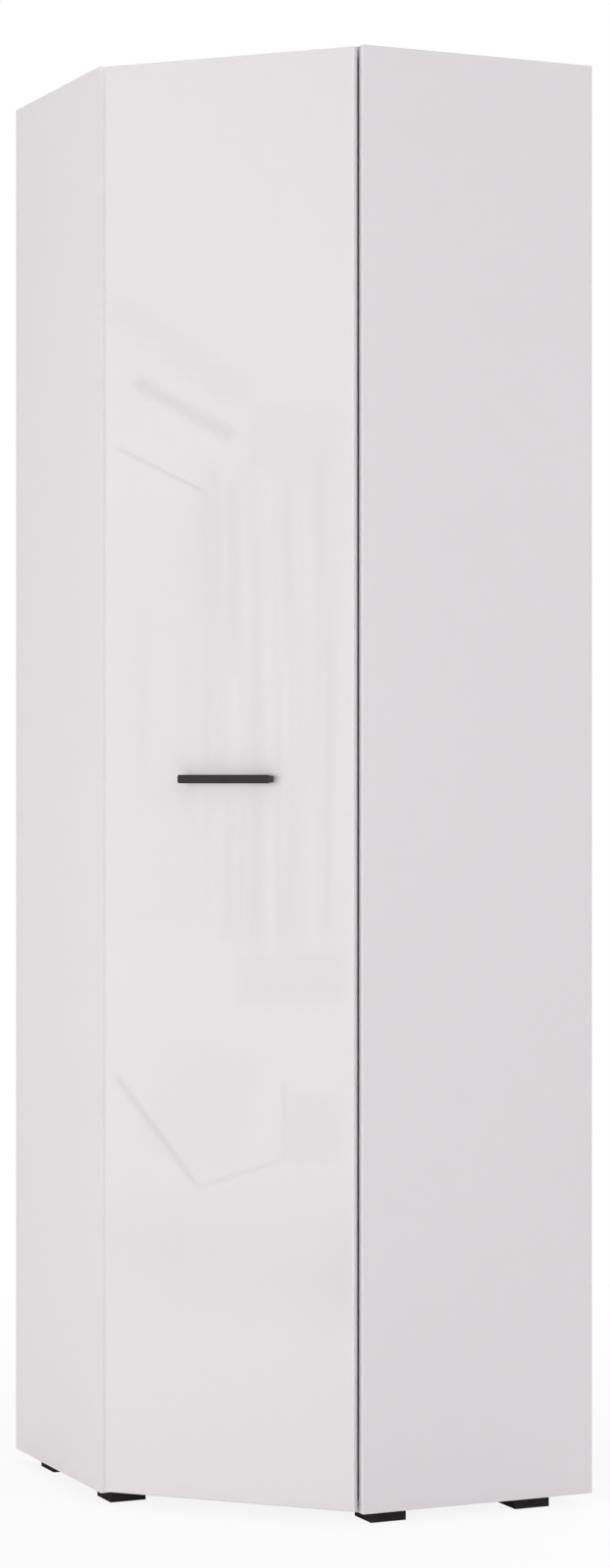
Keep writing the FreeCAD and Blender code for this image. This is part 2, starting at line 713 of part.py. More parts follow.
def door_panel():
    """A flat panel with a rounded front edge, bored for hinges and handle."""
    corners = [("0", "-door_board"), ("door_width", "-door_board"), ("door_width", "0"), ("0", "0")]
    body = prism("door", corners, "door_height", [(on_door_front, "Fillet", "door_edge_round")])
    for sign in "-+":
        seat = ("door_width / 2 %s handle_pitch / 2" % sign, "0", "door_height / 2")
        start = shift(seat, "+y", "overshoot")
        door_tools.append(way(start, "-y", "door_board + 2 * overshoot", "handle_screw"))
        fixing = screw(seat, "-y", "door_board + handle_screw_grip", "handle_screw")
        handle_screws.append(place(fixing, z="door_base", **DOOR_FRAME))
    finish(place(cut(body, door_tools), z="door_base", **DOOR_FRAME), "door_panel")


def on_door_front(bounds):
    """Whether an edge bounds the door's front face."""
    return near(bounds.YMin, -value("door_board")) and near(bounds.YMax, -value("door_board"))


def on_handle_end(bounds):
    """Whether an edge runs back from the bar along an outer corner of an end."""
    at_end = near(max(-bounds.XMin, bounds.XMax), value("half_handle"))
    return at_end and near(bounds.YLength, value("handle_reach"))


def on_handle_front(bounds):
    """Whether an edge bounds the handle's front face."""
    return near(bounds.YMin, -value("handle_reach")) and near(bounds.YLength, 0)


def door_handle():
    """A bracket handle: a flat bar turned back to the door at both ends, with tapped legs."""
    outside, inside = "half_handle", "(half_handle - handle_leg)"
    under = "handle_bar - handle_reach"
    corners = [("-half_handle", "-handle_reach"), (outside, "-handle_reach"), (outside, "0"), (inside, "0"),
               (inside, under), ("-" + inside, under), ("-" + inside, "0"), ("-half_handle", "0")]
    eased = [(on_handle_end, "Fillet", "handle_corner"), (on_handle_front, "Chamfer", "handle_bevel")]
    bracket = place(prism("handle", corners, "handle_height", eased), z="-handle_height / 2")
    ways = []
    for sign in "-+":
        start = ("%s handle_pitch / 2" % sign, "overshoot", "0")
        ways.append(way(start, "-y", "handle_screw_grip + hole_clearance + overshoot", "handle_screw"))
    x = "door_x + (door_width / 2 + door_board) / root_two"
    y = "door_y + (door_width / 2 - door_board) / root_two"
    finish(place(cut(bracket, ways), x, y, "door_base + door_height / 2", DIAGONAL), "door_handle")


def door_bumpers():
    """Two soft pads that the door closes on, at the far edge of its back."""
    pads = []
    for level in ("top_under + board / 2", "foot_height + board / 2"):
        pad = rod(("door_width - bumper_inset", "0", "0"), "+y", "bumper_radius", "bumper", EYE_SIDES)
        pads.append(carried(pad, z=level, **DOOR_FRAME))
    group("door_bumpers", pads)


# Boards
SHELF_BACK_OFF = "shelf_setback * root_two"
FIVE_SIDES = [("-rear", "-inner"), ("front", "-inner"), ("inner", "-front"), ("inner", "rear"),
              ("-rear", "rear")]
SHELF_SIDES = [("-rear", "-inner"), ("front - " + SHELF_BACK_OFF, "-inner"),
               ("inner", "-front + " + SHELF_BACK_OFF), ("inner", "rear"), ("-rear", "rear")]
LEFT_SIDE = [("-rear", "-half"), ("front", "-half"), ("front", "-inner"), ("-rear", "-inner")]
RIGHT_SIDE = [("inner", "-front"), ("half", "-front"), ("half", "rear"), ("inner", "rear")]
LEFT_BACK = [("-half", "-half"), ("-rear", "-half"), ("-rear", "half"), ("-half", "half")]
RIGHT_BACK = [("-rear", "rear"), ("half", "rear"), ("half", "half"), ("-rear", "half")]
LEFT_POST = [("-rear", "rear - post_width"), ("-rear + board", "rear - post_width"),
             ("-rear + board", "rear"), ("-rear", "rear")]
RIGHT_POST = [("-rear + board", "rear - board"), ("-rear + post_width", "rear - board"),
              ("-rear + post_width", "rear"), ("-rear + board", "rear")]
POSTS = {"lower": ("bottom_top", "shelf_level - bottom_top"), "upper": ("shelf_top", "top_under - shelf_top")}


def board_piece(name, corners, level, height, front_edge=None):
    """A board drilled for all its fasteners, with the arrises of its front edge eased."""
    eased = [(front_edge, "Fillet", "edge_round")] if front_edge else []
    body = place(prism(name, corners, height, eased), z=level)
    finish(cut(body, holes[name]), name)


def at_left_front(bounds):
    """The left side panel's two front arrises."""
    return near(bounds.XMin, value("front")) and near(bounds.ZLength, value("panel_height"))


def at_right_front(bounds):
    """The right side panel's two front arrises."""
    return near(bounds.YMax, -value("front")) and near(bounds.ZLength, value("panel_height"))


fill_sheet()
for horizontal, level in HORIZONTALS.items():
    for mirrored in (False, True):
        for along in ("fitting_front", "fitting_rear"):
            side_joint(horizontal, level, mirrored, along)
        side_dowel(horizontal, level, mirrored)
for mirrored, hand in ((False, "left"), (True, "right")):
    post_fixings(mirrored, hand)
    back_nails(mirrored, hand)
for name, (x, y) in FEET.items():
    foot(name, x, y)
hanging_rail()
rail_bracket("left_rail_bracket", "-bracket_place")
rail_bracket("right_rail_bracket", "bracket_place")
for number in range(1, int(value("hinge_count")) + 1):
    hinge(number)
door_panel()
door_handle()
door_bumpers()

board_piece("left_side_panel", LEFT_SIDE, "foot_height", "panel_height", at_left_front)
board_piece("right_side_panel", RIGHT_SIDE, "foot_height", "panel_height", at_right_front)
board_piece("top_panel", FIVE_SIDES, "top_under", "board")
board_piece("bottom_panel", FIVE_SIDES, "foot_height", "board")
board_piece("hat_shelf", SHELF_SIDES, "shelf_level", "board")
board_piece("left_back_board", LEFT_BACK, "foot_height", "panel_height")
board_piece("right_back_board", RIGHT_BACK, "foot_height", "panel_height")
for height, (level, tall) in POSTS.items():
    board_piece("%s_left_rear_post" % height, LEFT_POST, level, tall)
    board_piece("%s_right_rear_post" % height, RIGHT_POST, level, tall)
group("cam_bolts", cam_bolts)
group("cam_locks", cam_locks)
group("dowels", dowels)
group("long_screws", long_screws)
group("back_nails", nails)
group("foot_screws", foot_screws)
group("rail_bracket_screws", bracket_screws)
group("hinge_arm_pins", arm_pins)
group("hinge_cup_pins", cup_pins)
group("hinge_cup_screws", cup_screws)
group("hinge_plate_screws", plate_screws)
group("hinge_arm_screws", arm_screws)
group("handle_screws", handle_screws)

doc.recompute()
faults = []
for thing in doc.Objects:
    if "Invalid" in thing.State or "Error" in thing.State:
        faults.append("%s: %s" % (thing.Label, thing.State))
for thing in finished:
    if thing.Shape.isNull() or not thing.Shape.isValid():
        faults.append("%s has no sound shape" % thing.Label)
if faults:
    raise RuntimeError("; ".join(faults))
os.makedirs("parts", exist_ok=True)
for thing in finished:
    thing.Shape.exportStep("parts/%s.step" % thing.Label)
    print("%s: %d solids, %.0f mm3" % (thing.Label, len(thing.Shape.Solids), thing.Shape.Volume))
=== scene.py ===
"""Corner wardrobe: finishes, modelled hardware, studio and camera, in metres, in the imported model's frame."""
import bmesh
import bpy
import json
import math
from mathutils import Matrix, Vector


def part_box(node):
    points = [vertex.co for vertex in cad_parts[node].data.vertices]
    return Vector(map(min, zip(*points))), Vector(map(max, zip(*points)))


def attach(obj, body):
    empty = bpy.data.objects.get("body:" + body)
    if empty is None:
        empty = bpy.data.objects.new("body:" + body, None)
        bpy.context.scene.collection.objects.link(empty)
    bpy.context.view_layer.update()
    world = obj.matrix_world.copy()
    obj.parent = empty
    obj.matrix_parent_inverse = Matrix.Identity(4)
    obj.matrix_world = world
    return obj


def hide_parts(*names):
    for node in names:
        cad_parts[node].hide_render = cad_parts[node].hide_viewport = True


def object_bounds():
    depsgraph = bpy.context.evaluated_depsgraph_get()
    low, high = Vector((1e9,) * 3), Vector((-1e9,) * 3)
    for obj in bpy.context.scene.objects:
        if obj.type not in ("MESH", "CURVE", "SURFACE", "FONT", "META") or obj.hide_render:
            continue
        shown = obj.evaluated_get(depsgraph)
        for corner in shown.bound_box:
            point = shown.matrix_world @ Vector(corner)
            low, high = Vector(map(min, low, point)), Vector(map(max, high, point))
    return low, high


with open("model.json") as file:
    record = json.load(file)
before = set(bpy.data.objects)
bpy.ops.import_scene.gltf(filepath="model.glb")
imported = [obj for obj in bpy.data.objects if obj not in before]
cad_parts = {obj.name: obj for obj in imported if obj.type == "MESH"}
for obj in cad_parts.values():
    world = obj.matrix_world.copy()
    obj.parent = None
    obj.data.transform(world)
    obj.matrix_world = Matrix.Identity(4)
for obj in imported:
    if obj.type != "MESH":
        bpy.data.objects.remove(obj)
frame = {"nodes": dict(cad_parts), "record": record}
nodes = frame["nodes"]
cad_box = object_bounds()

MM = 0.001
SAME_LEVEL = 0.01 * MM
SAME_POINT = 0.001 * MM
DIAGONAL = math.radians(45)
FLOOR = cad_box[0][2]

# Directions of the closed door: along it from the hinges, and out into the room
DOOR_ALONG = Vector((math.cos(DIAGONAL), math.sin(DIAGONAL), 0))
DOOR_OUT = Vector((math.cos(DIAGONAL), -math.sin(DIAGONAL), 0))
UP = Vector((0, 0, 1))
LEFT_WALL = Vector((-1, 0, 0))
RIGHT_WALL = Vector((0, 1, 0))


# Reading the frame
def points_of(node):
    """The corner points of a CAD node."""
    return [vertex.co.copy() for vertex in nodes[node].data.vertices]


def span(points, direction):
    """The least and the greatest reach of points along a direction."""
    reach = [point.dot(direction) for point in points]
    return min(reach), max(reach)


def reach_of(node, direction):
    """How far a CAD node reaches along a direction."""
    return span(points_of(node), direction)[1]


def extent(points, direction):
    """The length of points along a direction."""
    low, high = span(points, direction)
    return high - low


def solids_of(node):
    """The corner points of each separate solid of a CAD node, from a merged copy of its mesh."""
    shape = bmesh.new()
    shape.from_mesh(nodes[node].data)
    bmesh.ops.remove_doubles(shape, verts=shape.verts, dist=SAME_POINT)
    seen = set()
    found = []
    for first in shape.verts:
        if first in seen:
            continue
        seen.add(first)
        queue = [first]
        solid = []
        while queue:
            vertex = queue.pop()
            solid.append(vertex.co.copy())
            for edge in vertex.link_edges:
                other = edge.other_vert(vertex)
                if other not in seen:
                    seen.add(other)
                    queue.append(other)
        found.append(solid)
    shape.free()
    return found


def end_frame(points, direction):
    """A frame on a straight piece's axis, at the end that a direction points to, with its Z that way."""
    turn = direction.to_track_quat("Z", "Y").to_matrix()
    place = direction * span(points, direction)[1]
    for across in (turn.col[0], turn.col[1]):
        place += across * sum(span(points, across)) / 2
    return Matrix.Translation(place) @ turn.to_4x4()


def head_way(points, axis):
    """The way along an axis in which the wider end of a screw points."""
    spread = []
    for end in span(points, axis):
        rim = [point for point in points if abs(point.dot(axis) - end) < SAME_LEVEL]
        middle = sum(rim, Vector()) / len(rim)
        spread.append(max((point - middle).length for point in rim))
    return axis if spread[1] > spread[0] else -axis


# Small tools for shader trees
def add(tree, kind, inputs=None, **settings):
    """One node with its settings and the values of its unlinked inputs."""
    made = tree.nodes.new(kind)
    for name, setting in settings.items():
        setattr(made, name, setting)
    for name, number in (inputs or {}).items():
        made.inputs[name].default_value = number
    return made


def join_sockets(tree, *pairs):
    """Link each output to its input."""
    for output, target in pairs:
        tree.links.new(output, target)


def effect_group(name, numbers, outputs):
    """A shader group with a vector, some numbers with their defaults, and the values that it puts out."""
    tree = bpy.data.node_groups.new(name, "ShaderNodeTree")
    tree.interface.new_socket(name="Vector", in_out="INPUT", socket_type="NodeSocketVector")
    for label, default in numbers.items():
        socket = tree.interface.new_socket(name=label, in_out="INPUT", socket_type="NodeSocketFloat")
        socket.default_value = default
    for label in outputs:
        tree.interface.new_socket(name=label, in_out="OUTPUT", socket_type="NodeSocketFloat")
    return tree, tree.nodes.new("NodeGroupInput"), tree.nodes.new("NodeGroupOutput")


def pearl_group():
    """The faint orange peel of a pressed or lacquered face: a fine height and a broad, slow tone."""
    tree, given, result = effect_group("pearl_surface", {"Peel": 900.0, "Cloud": 3.0}, ("Height", "Tone"))
    peel = add(tree, "ShaderNodeTexNoise", {"Detail": 2.0, "Roughness": 0.55})
    cloud = add(tree, "ShaderNodeTexNoise", {"Detail": 3.0, "Roughness": 0.5})
    join_sockets(tree, (given.outputs["Vector"], peel.inputs["Vector"]),
                 (given.outputs["Peel"], peel.inputs["Scale"]),
                 (given.outputs["Vector"], cloud.inputs["Vector"]),
                 (given.outputs["Cloud"], cloud.inputs["Scale"]),
                 (peel.outputs["Fac"], result.inputs["Height"]),
                 (cloud.outputs["Fac"], result.inputs["Tone"]))
    return tree


def drawn_group():
    """Fine lines left by drawing or brushing, across the direction in which the vector is stretched."""
    tree, given, result = effect_group("drawn_lines", {"Lines": 700.0, "Smears": 45.0}, ("Line", "Smudge"))
    line = add(tree, "ShaderNodeTexNoise", {"Detail": 4.0, "Roughness": 0.65})
    smudge = add(tree, "ShaderNodeTexNoise", {"Detail": 3.0})
    join_sockets(tree, (given.outputs["Vector"], line.inputs["Vector"]),
                 (given.outputs["Lines"], line.inputs["Scale"]),
                 (given.outputs["Vector"], smudge.inputs["Vector"]),
                 (given.outputs["Smears"], smudge.inputs["Scale"]),
                 (line.outputs["Fac"], result.inputs["Line"]),
                 (smudge.outputs["Fac"], result.inputs["Smudge"]))
    return tree


def fibre_group():
    """Pressed or grown wood fibre: short flecks over a slow cloud."""
    tree, given, result = effect_group("wood_fibre", {"Fleck": 420.0, "Cloud": 9.0}, ("Fleck", "Cloud"))
    fleck = add(tree, "ShaderNodeTexNoise", {"Detail": 5.0, "Roughness": 0.7, "Distortion": 0.8})
    cloud = add(tree, "ShaderNodeTexNoise", {"Detail": 2.0})
    join_sockets(tree, (given.outputs["Vector"], fleck.inputs["Vector"]),
                 (given.outputs["Fleck"], fleck.inputs["Scale"]),
                 (given.outputs["Vector"], cloud.inputs["Vector"]),
                 (given.outputs["Cloud"], cloud.inputs["Scale"]),
                 (fleck.outputs["Fac"], result.inputs["Fleck"]),
                 (cloud.outputs["Fac"], result.inputs["Cloud"]))
    return tree


PEARL, DRAWN, FIBRE = pearl_group(), drawn_group(), fibre_group()


# Places of the colour sockets on a Mix node: factor, first, second, and the result
MIX_FACTOR, MIX_FIRST, MIX_SECOND, MIX_RESULT = 0, 6, 7, 2


class Finish:
    """One material: its tree, its main shader and the object coordinates that its patterns follow."""

    def __init__(self, name, **shader):
        self.material = bpy.data.materials.new(name)
        self.material.use_nodes = True
        self.tree = self.material.node_tree
        self.shader = self.tree.nodes["Principled BSDF"]
        for label, number in shader.items():
            self.shader.inputs[label.replace("_", " ")].default_value = number
        self.place = add(self.tree, "ShaderNodeTexCoord").outputs["Object"]

    def link(self, *pairs):
        """Link outputs to inputs in this material."""
        join_sockets(self.tree, *pairs)

    def effect(self, group, stretch=None, turn=0.0, **values):
        """An effect group on the object's coordinates, turned about the vertical and stretched if asked."""
        made = add(self.tree, "ShaderNodeGroup", node_tree=group)
        for label, number in values.items():
            made.inputs[label].default_value = number
        source = self.place
        if stretch:
            mapping = add(self.tree, "ShaderNodeMapping", {"Rotation": (0, 0, turn), "Scale": stretch})
            self.link((source, mapping.inputs["Vector"]))
            source = mapping.outputs["Vector"]
        self.link((source, made.inputs["Vector"]))
        return made.outputs

    def between(self, mask, low, high, start=0.0, end=1.0):
        """A number that runs from low to high while a mask runs from start to end."""
        ramp = add(self.tree, "ShaderNodeMapRange",
                   {"From Min": start, "From Max": end, "To Min": low, "To Max": high})
        self.link((mask, ramp.inputs["Value"]))
        return ramp.outputs["Result"]

    def blend(self, mask, first, second):
        """A colour that runs from the first to the second with a mask; either may be a socket."""
        mix = add(self.tree, "ShaderNodeMix", data_type="RGBA")
        for colour, place in ((first, MIX_FIRST), (second, MIX_SECOND)):
            if isinstance(colour, tuple):
                mix.inputs[place].default_value = colour + (1.0,)
            else:
                self.link((colour, mix.inputs[place]))
        self.link((mask, mix.inputs[MIX_FACTOR]))
        return mix.outputs[MIX_RESULT]

    def beyond(self, direction, edge, width):
        """A mask of what lies past an edge along a direction, rising across the width."""
        reach = add(self.tree, "ShaderNodeVectorMath", operation="DOT_PRODUCT")
        reach.inputs[1].default_value = direction
        ramp = add(self.tree, "ShaderNodeMapRange",
                   {"From Min": edge - width / 2, "From Max": edge + width / 2})
        self.link((self.place, reach.inputs[0]), (reach.outputs["Value"], ramp.inputs["Value"]))
        return ramp.outputs["Result"]

    def either(self, first, second):
        """The greater of two masks."""
        made = add(self.tree, "ShaderNodeMath", operation="MAXIMUM")
        self.link((first, made.inputs[0]), (second, made.inputs[1]))
        return made.outputs["Value"]

    def colour(self, socket):
        """Feed the base colour."""
        self.link((socket, self.shader.inputs["Base Color"]))

    def roughness(self, socket):
        """Feed the roughness."""
        self.link((socket, self.shader.inputs["Roughness"]))

    def bump(self, height, distance):
        """Relief of a real depth."""
        made = add(self.tree, "ShaderNodeBump", {"Distance": distance})
        self.link((height, made.inputs["Height"]), (made.outputs["Normal"], self.shader.inputs["Normal"]))


# Finishes
WHITE_BOARD = (0.765, 0.742, 0.756)
WHITE_BOARD_LOW = (0.748, 0.724, 0.737)
# Painted light: a white brighter than the boards for edges by the door's gaps, lifting their shade and standing
# in for highlights on rounded edges
EDGE_PAINTED_LIGHT = (0.895, 0.875, 0.885)
GLOSS_WHITE = (0.724, 0.702, 0.716)
GLOSS_WHITE_LOW = (0.711, 0.690, 0.701)
HARDBOARD = (0.30, 0.185, 0.10)
HARDBOARD_DARK = (0.20, 0.115, 0.06)
HARDBOARD_LIGHT = (0.40, 0.27, 0.155)
BLACK_COAT = (0.0135, 0.0115, 0.0125)
BLACK_COAT_LIGHT = (0.023, 0.020, 0.0215)
BLACK_MOULDED = (0.026, 0.0236, 0.0244)
BLACK_MOULDED_LIGHT = (0.042, 0.038, 0.039)
CHROME = (0.80, 0.80, 0.81)
CHROME_DARK = (0.74, 0.74, 0.75)
NICKEL = (0.62, 0.60, 0.57)
NICKEL_DARK = (0.50, 0.48, 0.455)
ZINC = (0.60, 0.61, 0.63)
ZINC_DARK = (0.46, 0.47, 0.49)
BEECH = (0.62, 0.42, 0.24)
BEECH_DARK = (0.50, 0.31, 0.16)
RUBBER = (0.82, 0.83, 0.83)
RUBBER_LIGHT = (0.90, 0.91, 0.91)
# How deep the painted light reaches on the boards' front edges and on the door's long edges, and the depth in
# which one finish gives way to another
LIT_EDGE_DEPTH = 0.3 * MM
DOOR_LIT_EDGE_DEPTH = 1.0 * MM
SKIN = 0.15 * MM


def laminate(name, front=None, front_at=0.0):
    """White melamine board with a faint pearl, and painted light on its front edge where it has one: a band
    painted brighter than the face to lift the shade that the door casts into the gap.
    """
    finish = Finish(name, Specular_IOR_Level=0.4)
    pearl = finish.effect(PEARL, Peel=1400.0, Cloud=2.2)
    colour = finish.blend(pearl["Tone"], WHITE_BOARD_LOW, WHITE_BOARD)
    if front:
        # Painted light: the front edge is painted brighter than the face against the shade in the gap by the
        # door
        colour = finish.blend(finish.beyond(front, front_at - LIT_EDGE_DEPTH, SKIN), colour, EDGE_PAINTED_LIGHT)
    finish.colour(colour)
    finish.roughness(finish.between(pearl["Height"], 0.36, 0.48))
    finish.bump(pearl["Height"], 0.03 * MM)
    return finish.material


def gloss_door(points):
    """High-gloss white front with a lacquered board's slight waves, painted light on its long edges and a satin
    back: the long edges are painted brighter, a painted highlight on their rounding that also lifts the shade
    in the gaps by the side panels.
    """
    finish = Finish("door_gloss", Coat_Roughness=0.015, Coat_IOR=1.8, Specular_IOR_Level=0.3)
    wave = finish.effect(PEARL, Peel=6.0, Cloud=1.6)
    satin = finish.effect(PEARL, Peel=1400.0, Cloud=2.2)
    face = finish.blend(wave["Tone"], GLOSS_WHITE_LOW, GLOSS_WHITE)
    # Painted light: both long edges are painted brighter than the face, a painted highlight on their rounding
    # and a lift for the shade in the gaps
    painted_light_edges = [finish.beyond(way, span(points, way)[1] - DOOR_LIT_EDGE_DEPTH, SKIN) for way in (-DOOR_ALONG, DOOR_ALONG)]
    finish.colour(finish.blend(finish.either(*painted_light_edges), face, EDGE_PAINTED_LIGHT))
    lacquer = finish.beyond(DOOR_OUT, span(points, DOOR_OUT)[0] + SKIN, SKIN)
    finish.link((lacquer, finish.shader.inputs["Coat Weight"]))
    finish.roughness(finish.between(satin["Height"], 0.38, 0.46))
    finish.bump(wave["Height"], 0.08 * MM)
    return finish.material


def hardboard(name, outward, outer_at):
    """Thin board, white on its inner face and edges and raw brown fibre on the face to the wall."""
    finish = Finish(name)
    fibre = finish.effect(FIBRE, Fleck=520.0, Cloud=7.0)
    clump = finish.effect(FIBRE, stretch=(1, 1, 0.75), Fleck=34.0, Cloud=2.4)
    pearl = finish.effect(PEARL, Peel=1100.0, Cloud=2.0)
    raw = finish.blend(fibre["Fleck"], HARDBOARD_DARK, HARDBOARD)
    raw = finish.blend(finish.between(fibre["Cloud"], 0.0, 0.45, 0.35, 0.7), raw, HARDBOARD_DARK)
    raw = finish.blend(finish.between(clump["Fleck"], 0.0, 0.35, 0.4, 0.7), raw, HARDBOARD_LIGHT)
    raw = finish.blend(finish.between(clump["Cloud"], 0.0, 0.4, 0.4, 0.65), raw, HARDBOARD_DARK)
    white = finish.blend(pearl["Tone"], WHITE_BOARD_LOW, WHITE_BOARD)
    finish.colour(finish.blend(finish.beyond(outward, outer_at - SKIN, SKIN), white, raw))
    finish.roughness(finish.between(fibre["Fleck"], 0.5, 0.72))
    finish.bump(fibre["Fleck"], 0.08 * MM)
    return finish.material


def black_coat():
    """Matt black powder coat with a fine grain."""
    finish = Finish("black_metal", Specular_IOR_Level=0.35)
    grain = finish.effect(PEARL, Peel=2600.0, Cloud=60.0)
    finish.colour(finish.blend(grain["Tone"], BLACK_COAT, BLACK_COAT_LIGHT))
    finish.roughness(finish.between(grain["Height"], 0.38, 0.56))
    finish.bump(grain["Height"], 0.05 * MM)
    return finish.material


def black_moulding():
    """Black moulded plastic with a fine eroded texture."""
    finish = Finish("black_plastic", Specular_IOR_Level=0.0)
    grain = finish.effect(PEARL, Peel=1700.0, Cloud=35.0)
    finish.colour(finish.blend(grain["Tone"], BLACK_MOULDED, BLACK_MOULDED_LIGHT))
    finish.roughness(finish.between(grain["Height"], 0.5, 0.68))
    finish.bump(grain["Height"], 0.06 * MM)
    return finish.material


def plated_metal(name, light, dark, rough, stretch=(1, 1, 1), turn=0.0, lines=700.0):
    """Plated metal with drawing lines, and slow smudges in its tone."""
    finish = Finish(name, Metallic=1.0)
    drawn = finish.effect(DRAWN, stretch=stretch, turn=turn, Lines=lines)
    finish.colour(finish.blend(drawn["Smudge"], dark, light))
    finish.roughness(finish.between(drawn["Line"], rough * 0.7, rough * 1.4))
    finish.bump(drawn["Line"], 0.01 * MM)
    return finish.material


def beech():
    """Pale hardwood with fine dark flecks."""
    finish = Finish("beech")
    fibre = finish.effect(FIBRE, Fleck=600.0, Cloud=30.0)
    finish.colour(finish.blend(fibre["Fleck"], BEECH_DARK, BEECH))
    finish.roughness(finish.between(fibre["Cloud"], 0.5, 0.7))
    finish.bump(fibre["Fleck"], 0.1 * MM)
    return finish.material


def clear_rubber():
    """Clear soft rubber."""
    finish = Finish("clear_rubber", Transmission_Weight=0.6, IOR=1.41)
    grain = finish.effect(PEARL, Peel=900.0, Cloud=120.0)
    finish.colour(finish.blend(grain["Tone"], RUBBER, RUBBER_LIGHT))
    finish.roughness(finish.between(grain["Height"], 0.18, 0.32))
    finish.bump(grain["Height"], 0.02 * MM)
    return finish.material


PANEL_FINISH = {
    "left_side_panel": laminate("left_side_laminate", -LEFT_WALL, reach_of("left_side_panel", -LEFT_WALL)),
    "right_side_panel": laminate("right_side_laminate"),
    "left_back_board": hardboard("left_hardboard", LEFT_WALL, reach_of("left_back_board", LEFT_WALL)),
    "right_back_board": hardboard("right_hardboard", RIGHT_WALL, reach_of("right_back_board", RIGHT_WALL)),
}
SLOT_FINISH = {
    "board_laminate": laminate("board_laminate"),
    "door_gloss": gloss_door(points_of("door_panel")),
    "black_plastic": black_moulding(),
    "black_metal": black_coat(),
    "rail_chrome": plated_metal("rail_chrome", CHROME, CHROME_DARK, 0.09, (6, 1, 1), DIAGONAL),
    "hinge_steel": plated_metal("hinge_steel", NICKEL, NICKEL_DARK, 0.24, (1, 1, 8)),
    "screw_steel": plated_metal("screw_steel", ZINC, ZINC_DARK, 0.3, lines=1600.0),
    "cam_zinc": plated_metal("cam_zinc", ZINC, ZINC_DARK, 0.45, lines=1200.0),
    "beech": beech(),
    "clear_rubber": clear_rubber(),
}
SLOT_OF = {row["node"]: row["material_slot"] for row in frame["record"]["subparts"]}


def finish_nodes():
    """Every CAD piece gets its finish."""
    for name, piece in nodes.items():
        finish = PANEL_FINISH.get(name) or SLOT_FINISH[SLOT_OF[name]]
        if not piece.material_slots:
            piece.data.materials.append(finish)
        for slot in piece.material_slots:
            slot.material = finish


finish_nodes()


# Modelling by hand: start from a block or a round bar, pick faces or edges, shape them
ROUND = 48
# Least cosine at which a face or an edge counts as lying along a direction
ALIGNED = 0.9


def only(piece):
    """Select one piece alone."""
    bpy.ops.object.select_all(action="DESELECT")
    piece.select_set(True)
    bpy.context.view_layer.objects.active = piece


def settle(name):
    """Name the piece that was just added and put its place in its mesh."""
    piece = bpy.context.object
    piece.name = name
    piece.data.name = name
    bpy.ops.object.transform_apply(location=True, rotation=True, scale=True)
    return piece


def block(name, size, centre=(0, 0, 0)):
    """A plain block to start from."""
    bpy.ops.object.select_all(action="DESELECT")
    bpy.ops.mesh.primitive_cube_add(size=1, location=centre, scale=size)
    return settle(name)


def round_bar(name, radius, low, high, sides=ROUND, fill="NGON"):
    """A plain upright round bar to start from, between two levels."""
    bpy.ops.object.select_all(action="DESELECT")
    bpy.ops.mesh.primitive_cylinder_add(vertices=sides, radius=radius, depth=high - low, end_fill_type=fill,
                                        location=(0, 0, (low + high) / 2))
    return settle(name)


def edit(piece):
    """Open a piece for editing."""
    only(piece)
    bpy.ops.object.mode_set(mode="EDIT")


def leave():
    """Close the piece that is being edited."""
    bpy.ops.object.mode_set(mode="OBJECT")


def pick_faces(piece, test):
    """Select the faces whose centre and normal pass a test."""
    bpy.ops.mesh.select_mode(type="FACE")
    bpy.ops.mesh.select_all(action="DESELECT")
    shape = bmesh.from_edit_mesh(piece.data)
    shape.normal_update()
    for face in shape.faces:
        if test(face.calc_center_median(), face.normal):
            face.select_set(True)
    bmesh.update_edit_mesh(piece.data)


def pick_edges(piece, test):
    """Select the edges whose middle and direction pass a test."""
    bpy.ops.mesh.select_mode(type="EDGE")
    bpy.ops.mesh.select_all(action="DESELECT")
    shape = bmesh.from_edit_mesh(piece.data)
    for edge in shape.edges:
        first, second = (vertex.co for vertex in edge.verts)
        if test((first + second) / 2, (second - first).normalized()):
            edge.select_set(True)
    bmesh.update_edit_mesh(piece.data)


def pick_top(piece):
    """Select the highest level faces."""
    top = max(vertex.co.z for vertex in bmesh.from_edit_mesh(piece.data).verts)
    pick_faces(piece, lambda centre, normal: normal.z > ALIGNED and centre.z > top - SAME_LEVEL)


def pick_bottom(piece):
    """Select the lowest level faces."""
    bottom = min(vertex.co.z for vertex in bmesh.from_edit_mesh(piece.data).verts)
    pick_faces(piece, lambda centre, normal: normal.z < -ALIGNED and centre.z < bottom + SAME_LEVEL)


def extrude(move):
    """Draw the selected faces out."""
    bpy.ops.mesh.extrude_region_move(TRANSFORM_OT_translate={"value": move})


def inset(thickness):
    """Draw the selected face in within itself."""
    bpy.ops.mesh.inset(thickness=thickness, depth=0)


def round_off(radius, segments):
    """Round the selected edges."""
    bpy.ops.mesh.bevel(offset=radius, segments=segments, affect="EDGES")


def apply_modifiers(piece):
    """Make the modifiers of a piece part of its mesh."""
    only(piece)
    for modifier in list(piece.modifiers):
        bpy.ops.object.modifier_apply(modifier=modifier.name)


def ease(piece, radius, segments=2, angle=40):
    """Soften the sharp edges of a piece."""
    softening = piece.modifiers.new("softening", "BEVEL")
    softening.width = radius
    softening.segments = segments
    softening.limit_method = "ANGLE"
    softening.angle_limit = math.radians(angle)
    apply_modifiers(piece)


def cut_out(piece, cutter):
    """Take a cutter's shape out of a piece."""
    recess = piece.modifiers.new("recess", "BOOLEAN")
    recess.operation = "DIFFERENCE"
    recess.solver = "EXACT"
    recess.object = cutter
    apply_modifiers(piece)
    bpy.data.objects.remove(cutter)


